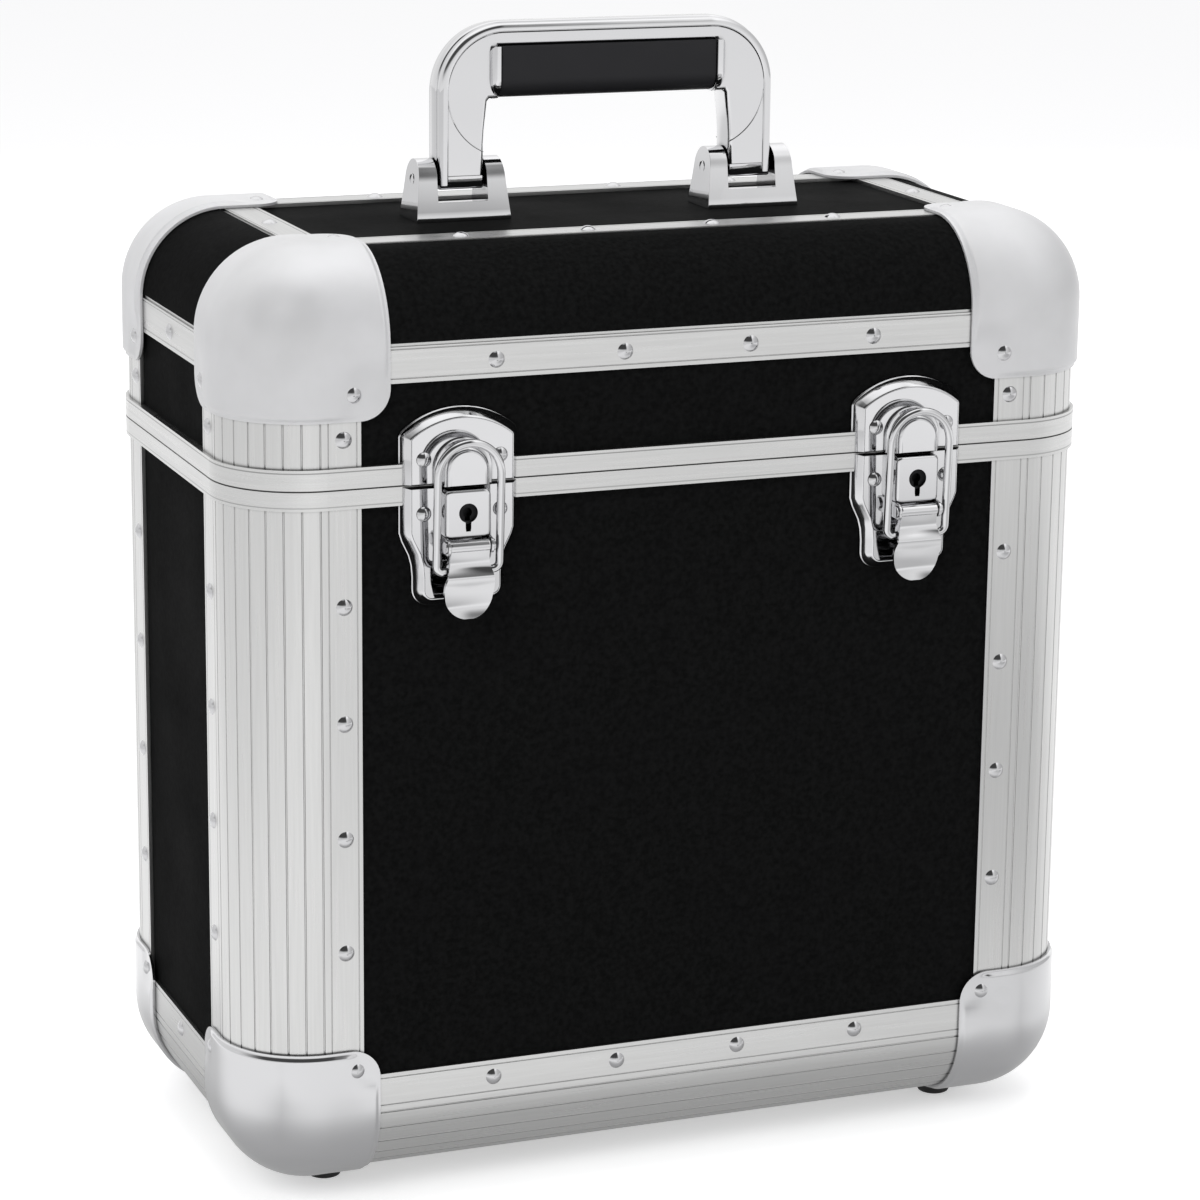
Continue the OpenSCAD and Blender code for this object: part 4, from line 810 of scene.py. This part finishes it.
KEY_Z, KEY_R, KEY_W, KEY_DROP = -9.8, 3.8, 2.3, 7.2
key_turn = math.degrees(math.asin(KEY_W / 2 / KEY_R))
keyhole = (arc(0, KEY_Z, KEY_R, 270 + key_turn, 630 - key_turn, 30)
           + [(-KEY_W / 2, KEY_Z - KEY_DROP), (KEY_W / 2, KEY_Z - KEY_DROP)])


def to_seam(ahead, share):
    """Walls lean inward everywhere, but hardly where a plate meets the seam."""
    return lambda x, z: (1, share if z * ahead < 1 else 1)


for side, s in SIDES.items():
    on_latch = on_latch_of(s)
    pressed("Latch_body_plate_" + side, body_plate_outline(), TRAY, on_latch, "latch_chrome",
            "body", ["latch_plate_" + side], hold=to_seam(-1, 0.15))
    pressed("Latch_lid_plate_" + side, lid_plate_outline(), TRAY, on_latch, "latch_chrome",
            "lid", ["latch_catch_" + side], hold=to_seam(1, 0.15))
    pressed("Latch_catch_" + side, catch_outline(), CATCH, on_latch, "latch_chrome", "lid",
            hold=to_seam(1, 0.2))
    pressed("Lock_housing_" + side, seen_from(housing_outline(), 0, KEY_Z), HOUSING, on_latch,
            "latch_chrome", "body", hole=(seen_from(keyhole, 0, KEY_Z), 2.0))
print("latch at", round(LATCH_X, 1), "with a keyhole of", len(keyhole), "points")

# %% [markdown]
# The lever is a strip of spring steel. It is curled round its pin at the top, dished for
# the thumb, bent out to a ridge and rounded off in a tab. Its front is a grid whose
# width and bulge follow those features, made solid by a modifier.

# %% Levers and cheeks
PIN_Z, PIN_OUT, LEVER_LEN, CURL_R, LEVER_T, TAB_R, ROW = -22.5, 13.0, 29.0, 2.4, 1.2, 9.7, 0.6
# down the lever: how far out its front stands, and half its width
wave = [(0, 2.2), (2.5, 1.4), (5.5, 0.9), (8.5, 1.2), (10.6, 2.2), (11.9, 2.7), (13.2, 2.3),
        (16, 0.8), (20, -0.5), (24.5, -0.8), (29, 0.3)]
widths = [(0, 7.8), (5.2, 7.9), (7.5, 8.3), (11.5, 9.3), (14.5, 9.9), (17, 10.1), (20.5, 9.7)]
columns = [-1, -0.97, -0.9, -0.75, -0.5, -0.25, 0, 0.25, 0.5, 0.75, 0.9, 0.97, 1]


def along(table, at_s):
    """A smooth curve through the table's points."""
    for k, ((s0, v0), (s1, v1)) in enumerate(zip(table, table[1:])):
        if at_s <= s1:
            before, after = table[max(k - 1, 0)], table[min(k + 2, len(table) - 1)]
            gap, rise = s1 - s0, v1 - v0
            start = (v1 - before[1]) / (s1 - before[0]) * gap
            end = (after[1] - v0) / (after[0] - s0) * gap
            t = (at_s - s0) / gap
            return (v0 + t * start + t * t * (3 * rise - 2 * start - end)
                    + t ** 3 * (start + end - 2 * rise))
    return table[-1][1]


tab_from = LEVER_LEN - TAB_R
rows = [k * ROW for k in range(32) if k * ROW < tab_from - 0.2]
rows += [tab_from + TAB_R * math.sin(math.radians(a)) for a in range(0, 79, 6)]
# side profiles, as (out, down from the pin) and as (out, up from the seam)
ear = ([(PIN_OUT - 3.2, 0)] + arc(11.4, -9, 2.9, 180, 280, 10)
       + [(14.3, -11.6), (13.6, -10), (12.7, -6), (14.0, -1), (14.0, 0)])
cheek = [(4.9, -19), (4.9, -25.6)] + arc(PIN_OUT, PIN_Z, 3.2, 270, 450, 14) + [(12, -19)]

for side, s in SIDES.items():
    on_latch = on_latch_of(s)
    points = []
    for r in rows:
        into_tab = max(0.0, r - tab_from)
        half = along(widths, r) if not into_tab else math.sqrt(TAB_R ** 2 - into_tab ** 2)
        dish = 0.5 * step(r, 1, 6) * (1 - step(r, 8, 11.5)) + 0.7 * step(r, 14, 20)
        for u in columns:
            bowl = dish * ((u * half / TAB_R) ** 2 - 0.6)
            points.append(on_latch(u * half, PIN_Z - r, PIN_OUT + along(wave, r) + bowl))
    wide = len(columns)
    corners = [r * wide + c for r in range(len(rows) - 1) for c in range(wide - 1)]
    faces = [(k, k + 1, k + 1 + wide, k + wide) for k in corners]
    lever = piece_from("Lever_" + side, points, faces, "latch_chrome", "lever_" + side,
                       ["latch_lever_" + side])
    turn_outward(lever, (0, -1, 0))
    thicken(lever, LEVER_T)
    soften(lever, 0.28, 2, 50)
    curl = [on_latch(x, PIN_Z, PIN_OUT) for x in (-7.8, -7.4, 7.4, 7.8)]
    tube("Lever_curl_" + side, curl, CURL_R, "latch_chrome", "lever_" + side, sides=32)
    for hand, hand_name in (-1, "_left"), (1, "_right"):
        for name, profile, up, places, body in (
                ("Lever_ear_", ear, PIN_Z, (6.7, 7.75), "lever_" + side),
                ("Cheek_", cheek, 0, (8.2, 9.3), "body")):
            rings = [[on_latch(hand * x, up + z, out) for out, z in profile] for x in places]
            soften(piece_from(name + side + hand_name, *loft(rings),
                              "latch_chrome", body), 0.25)
print("lever:", len(rows), "rows of", wide)

# %% [markdown]
# The bail is one piece of wire, bent to a loop whose ends hook into the lever. It is
# swept along its centre line: hook, leg, half circle, leg, hook.

# %% Bails
WIRE_R, BAIL_HALF, BAIL_LEN, BAIL_Z, BAIL_OUT = 1.6, 12.8, 50.46, -32.5, 11.5
BAIL_TILT, BEND_R, HOOK_X = math.radians(2.84), 3.0, 6.9
straight = BAIL_LEN - BAIL_HALF
half_path = ([(HOOK_X, 0)] + arc(BAIL_HALF - BEND_R, BEND_R, BEND_R, 270, 360)
             + [(BAIL_HALF, straight * k / 5) for k in (1, 2, 3, 4)]
             + arc(0, straight, BAIL_HALF, 0, 90, 18))
bail_path = half_path + [(-x, t) for x, t in reversed(half_path[:-1])]
for side, s in SIDES.items():
    on_latch = on_latch_of(s)
    spine = [on_latch(x, BAIL_Z + t * math.cos(BAIL_TILT), BAIL_OUT + t * math.sin(BAIL_TILT))
             for x, t in bail_path]
    tube("Bail_" + side, spine, WIRE_R, "latch_chrome", "bail_" + side,
         ["latch_bail_" + side], sides=20)
print("bail:", BAIL_LEN, "long,", len(bail_path), "points")

# %% [markdown]
# ## Lining and feet
# Inside, the case is lined with grey felt, laid over the walls and rounded into the
# corners, with a soft binding along its edge. Outside it stands on four turned rubber
# feet with a recess for their screws.

# %% Felt lining
LINING_IN, LINING_T, LINING_R = 10.7, 3.0, 20.8
EDGE_BACK, SWELL, SWELL_TURN, BINDING_R = 1.4, 0.35, 1.9, 1.15


def wall_ring(inset, r, z):
    """A ring inside the case, with rounded corners."""
    r = max(0.02, r)
    x, y = HALF_W - inset - r, HALF_D - inset - r
    corners = [(x, -y, 270), (x, y, 0), (-x, y, 90), (-x, -y, 180)]
    return [(px, MID_Y + py, z) for cx, cy, a in corners for px, py in arc(cx, cy, r, a, a + 90)]


def lining(name, edge_z, floor_z, body, node):
    """A wall that swells a little, rounded into its floor, with a binding at its edge."""
    inner = LINING_IN + LINING_T
    turn = 1 if floor_z > edge_z else -1
    tall = floor_z - edge_z - turn * LINING_R
    rings = [wall_ring(inner, LINING_R, edge_z)]
    rings += [wall_ring(inner + SWELL * math.sin(k * SWELL_TURN), LINING_R, edge_z + tall * k / 6)
              for k in range(1, 6)]
    for a in range(0, 91, 9):
        bend = LINING_R * (1 - math.cos(math.radians(a)))
        rings.append(wall_ring(inner + bend, LINING_R - bend,
                               floor_z - turn * LINING_R * (1 - math.sin(math.radians(a)))))
    points, faces = loft(rings)
    skin = piece_from(name, points, faces[:-2] + faces[-1:], "felt", body, [node])
    turn_outward(skin, (-skin.data.polygons[0].center.x, 0, 0))
    thicken(skin, LINING_T - 0.2)
    binding = wall_ring(inner - 1.2, LINING_R + 1.2, edge_z + turn * 0.2)
    tube(name + "_binding", binding + binding[:1], BINDING_R, "felt", body, sides=10)


body_low, body_high = (v.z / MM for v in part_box("body_lining"))
lid_low, lid_high = (v.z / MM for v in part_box("lid_lining"))
lining("Body_felt", body_high - EDGE_BACK, body_low + LINING_T, "body", "body_lining")
lining("Lid_felt", lid_low + EDGE_BACK, lid_high - LINING_T, "lid", "lid_lining")
print("felt floor and ceiling:", round(body_low + LINING_T, 1), round(lid_high - LINING_T, 1))

# %% Rubber feet
feet_low, feet_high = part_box("rubber_feet")
FOOT_R = 7.0
feet_h = feet_high.z / MM
# a turned profile, from the screw's recess round the tread and up: (radius, height)
profile = [(2.2, 1.4), (3.9, 1.3), (4.4, 0.5), (4.9, 0.1), (5.9, 0), (6.5, 0.3), (6.8, 1.0),
           (FOOT_R, 3.5), (FOOT_R, feet_h - 0.3), (3, feet_h - 0.1)]
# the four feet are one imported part, which the first of them stands for
stands_for = ["rubber_feet"]
for side, sx in SIDES.items():
    for end, sy in ENDS.items():
        x = (feet_low.x if sx < 0 else feet_high.x) / MM - sx * FOOT_R
        y = (feet_low.y if sy < 0 else feet_high.y) / MM - sy * FOOT_R
        rings = [[(px, py, z) for px, py in arc(x, y, r, 0, 350, 35)] for r, z in profile]
        piece_from("Rubber_foot_" + end + "_" + side, *loft(rings, close_ends=False), "rubber",
                   "body", stands_for)
        stands_for = []
print("feet:", FOOT_R, "in radius,", round(feet_h, 1), "high")

# %% [markdown]
# ## Surroundings
# The case stands on a white sheet in a bright, even studio. The floor and the world
# show as white to the camera, while the light that falls on the case stays soft and
# plain, so black stays black and metal keeps its tones.

# %% Helpers for light
WHITE = (1, 1, 1, 1)


def ramp_of(tree, value, stops):
    node = add(tree, "ShaderNodeValToRGB")
    for at, _ in stops[1:-1]:
        node.color_ramp.elements.new(at)
    for element, (_, tone) in zip(node.color_ramp.elements, stops):
        element.color = (tone, tone, tone, 1)
    return put(tree, node, Fac=value)


def shader_mix(tree, factor, one, two):
    node = add(tree, "ShaderNodeMixShader")
    wire(tree, *zip((factor, one, two), node.inputs))
    return node.outputs[0]


def shader_sum(tree, one, two):
    node = add(tree, "ShaderNodeAddShader")
    wire(tree, *zip((one, two), node.inputs))
    return node.outputs[0]


print("helpers for light are ready")

# %% [markdown]
# The room has a bright front, with one dark end above and behind the camera, and a paler
# back. Only metal mirrors it. Everything else gets an even fill.

# %% World
world = bpy.data.worlds.new("Studio")
bpy.context.scene.world = world
world.use_nodes = True
tree = world.node_tree
tree.nodes.clear()
ray = add(tree, "ShaderNodeLightPath").outputs
parts = add(tree, "ShaderNodeSeparateXYZ")
wire(tree, (add(tree, "ShaderNodeTexCoord").outputs["Generated"], parts.inputs[0]))
toward = parts.outputs
front_room = ramp_of(tree, toward["Z"], [(0, 0.66), (0.5, 0.68), (0.62, 0.74), (0.76, 0.98),
                                         (1, 1.0)])
dark_end = ramp_of(tree, toward["Z"], [(0, 0.66), (0.1, 0.6), (0.2, 0.42), (0.32, 0.1),
                                       (0.38, 0.05), (0.88, 0.05), (0.96, 0.7), (1, 0.8)])
DARK_MIDDLE = -0.3
sideways = number_of(tree, "ABSOLUTE", number_of(tree, "SUBTRACT", toward["X"], DARK_MIDDLE))
front_room = mixed(tree, spread_of(tree, sideways, 0.58, 0.76, 0, 1), dark_end, front_room)
back_room = ramp_of(tree, toward["Z"], [(0, 0.62), (0.3, 0.6), (0.5, 0.7), (0.75, 0.9), (1, 0.98)])
behind = spread_of(tree, toward["Y"], -0.25, 0.35, 0, 1)
shade = spread_of(tree, toward["X"], 0.35, 0.95, 1.0, 0.7)
room = mixed(tree, behind, front_room, back_room)
room = mixed(tree, 1, room, shade, "MULTIPLY")
ROOM_STRENGTH, FILL_TONE = 1.6, (0.6, 0.6, 0.61, 1)
mirrored = put(tree, add(tree, "ShaderNodeBackground"), Color=room, Strength=ROOM_STRENGTH)
fill = put(tree, add(tree, "ShaderNodeBackground"), Color=FILL_TONE)
white = put(tree, add(tree, "ShaderNodeBackground"), Color=WHITE)
lit = shader_mix(tree, ray["Is Glossy Ray"], fill, mirrored)
seen = shader_mix(tree, ray["Is Camera Ray"], lit, white)
wire(tree, (seen, add(tree, "ShaderNodeOutputWorld").inputs[0]))
print("world nodes:", len(tree.nodes))

# %% [markdown]
# The floor is white paper that keeps the shadow of the case. Metal sees instead a darker copy of
# the paper and a painted glow, with painted shadow close to the case and painted shade to the left
# and in one patch in front on the right.

# %% Floor
REACH = 6.0
mesh = bpy.data.meshes.new("Floor")
mesh.from_pydata([(REACH * x, REACH * y, 0) for x, y in ((-1, -1), (1, -1), (1, 1), (-1, 1))], [],
                 [(0, 1, 2, 3)])
floor = bpy.data.objects.new("Floor", mesh)
bpy.context.scene.collection.objects.link(floor)
material = bpy.data.materials.new("White_floor")
material.use_nodes = True
tree = material.node_tree
tree.nodes.clear()
ray = add(tree, "ShaderNodeLightPath").outputs
spot = add(tree, "ShaderNodeNewGeometry").outputs["Position"]
parts = add(tree, "ShaderNodeSeparateXYZ")
wire(tree, (spot, parts.inputs[0]))
across, along_y = parts.outputs["X"], parts.outputs["Y"]
beside = number_of(tree, "SUBTRACT", number_of(tree, "ABSOLUTE", across), HALF_W * MM)
before = number_of(tree, "ABSOLUTE", number_of(tree, "SUBTRACT", along_y, MID_Y * MM))
before = number_of(tree, "SUBTRACT", before, HALF_D * MM)
away = number_of(tree, "MAXIMUM", beside, before)
PATCH = (0.6, -0.65, 0)
from_patch = add(tree, "ShaderNodeVectorMath", operation="DISTANCE")
from_patch.inputs[1].default_value = PATCH
wire(tree, (spot, from_patch.inputs[0]))
# painted shadow of the case on the floor, as metal sees it
painted_case_shadow = spread_of(tree, away, 0.0, 0.13, 0.3, 0.87)
in_patch = spread_of(tree, from_patch.outputs["Value"], 0.25, 0.8, 0.4, 1)
to_left = spread_of(tree, across, -1.0, -0.35, 0.75, 1)
painted_glow_level = number_of(tree, "MULTIPLY", number_of(tree, "MULTIPLY", painted_case_shadow, in_patch), to_left)
PAPER, SHADED_PAPER, PAPER_GLOW = (0.8, 0.8, 0.8, 1), (0.3, 0.3, 0.3, 1), 0.45
paper = put(tree, add(tree, "ShaderNodeBsdfDiffuse"), Color=PAPER)
glow = put(tree, add(tree, "ShaderNodeEmission"), Color=ray["Is Camera Ray"], Strength=PAPER_GLOW)
dim = put(tree, add(tree, "ShaderNodeBsdfDiffuse"), Color=SHADED_PAPER)
# painted light: for metal the floor glows, though it is no lamp
painted_floor_glow = put(tree, add(tree, "ShaderNodeEmission"), Color=painted_glow_level)
either = shader_mix(tree, ray["Is Glossy Ray"], shader_sum(tree, paper, glow),
                    shader_sum(tree, dim, painted_floor_glow))
wire(tree, (either, add(tree, "ShaderNodeOutputMaterial").inputs[0]))
floor.data.materials.append(material)
print("floor nodes:", len(tree.nodes))

# %% [markdown]
# Four large soft lamps light the case from all around. Metal doesn't mirror them.

# %% Lamps
def lamp(name, place_at, aim, size, watts):
    data = bpy.data.lights.new(name, "AREA")
    data.shape = "RECTANGLE"
    data.size, data.size_y = size
    data.energy = watts
    obj = bpy.data.objects.new(name, data)
    obj.location = place_at
    obj.rotation_mode = "QUATERNION"
    obj.rotation_quaternion = (Vector(aim) - Vector(place_at)).to_track_quat("-Z", "Y")
    obj.visible_glossy = False
    bpy.context.scene.collection.objects.link(obj)
    print(name, watts, "W")


lamp("Key", (-1.5, -1.5, 1.9), aim=(0, 0, 0.25), size=(1.4, 1.4), watts=26)
lamp("Fill", (1.9, -1.2, 1.1), aim=(0, 0, 0.2), size=(1.4, 1.4), watts=8)
lamp("Top", (0.1, 0.3, 2.2), aim=(0, 0, 0.3), size=(1.6, 1.6), watts=16)
lamp("Back", (0.6, 2.2, 1.4), aim=(0, 0, 0.25), size=(1.6, 1.2), watts=12)

# %% [markdown]
# ## Camera
# The camera stands where the photographer stood. Its direction, distance and lens were
# found by fitting the known box of the case to its corners in the picture.

# %% Camera
CAMERA_AT = Vector((-584.1, -1482.3, 624.3))
FOCAL_PIXELS, FRAME_PIXELS, SENSOR = 3931.7, 1200, 36
azimuth, elevation, roll = (math.radians(v) for v in (-21.501, 14.307, 0.616))
level = math.cos(elevation)
back = Vector((math.sin(azimuth) * level, -math.cos(azimuth) * level, math.sin(elevation)))
right = Vector((math.cos(azimuth), math.sin(azimuth), 0))
up = back.cross(right)
turned_right = right * math.cos(roll) + up * math.sin(roll)
turned_up = up * math.cos(roll) - right * math.sin(roll)
camera_data = bpy.data.cameras.new("Camera")
camera_data.sensor_width = SENSOR
camera_data.lens = FOCAL_PIXELS / FRAME_PIXELS * SENSOR
camera_data.clip_start, camera_data.clip_end = 0.05, 50
camera = bpy.data.objects.new("Camera", camera_data)
turn = Matrix((turned_right, turned_up, back)).transposed().to_4x4()
camera.matrix_world = Matrix.Translation(CAMERA_AT * MM) @ turn
bpy.context.scene.collection.objects.link(camera)
bpy.context.scene.camera = camera
print("lens", round(camera_data.lens, 1))

# %% Colour
bpy.context.scene.view_settings.view_transform = "Standard"
print("colours are shown as", bpy.context.scene.view_settings.view_transform)
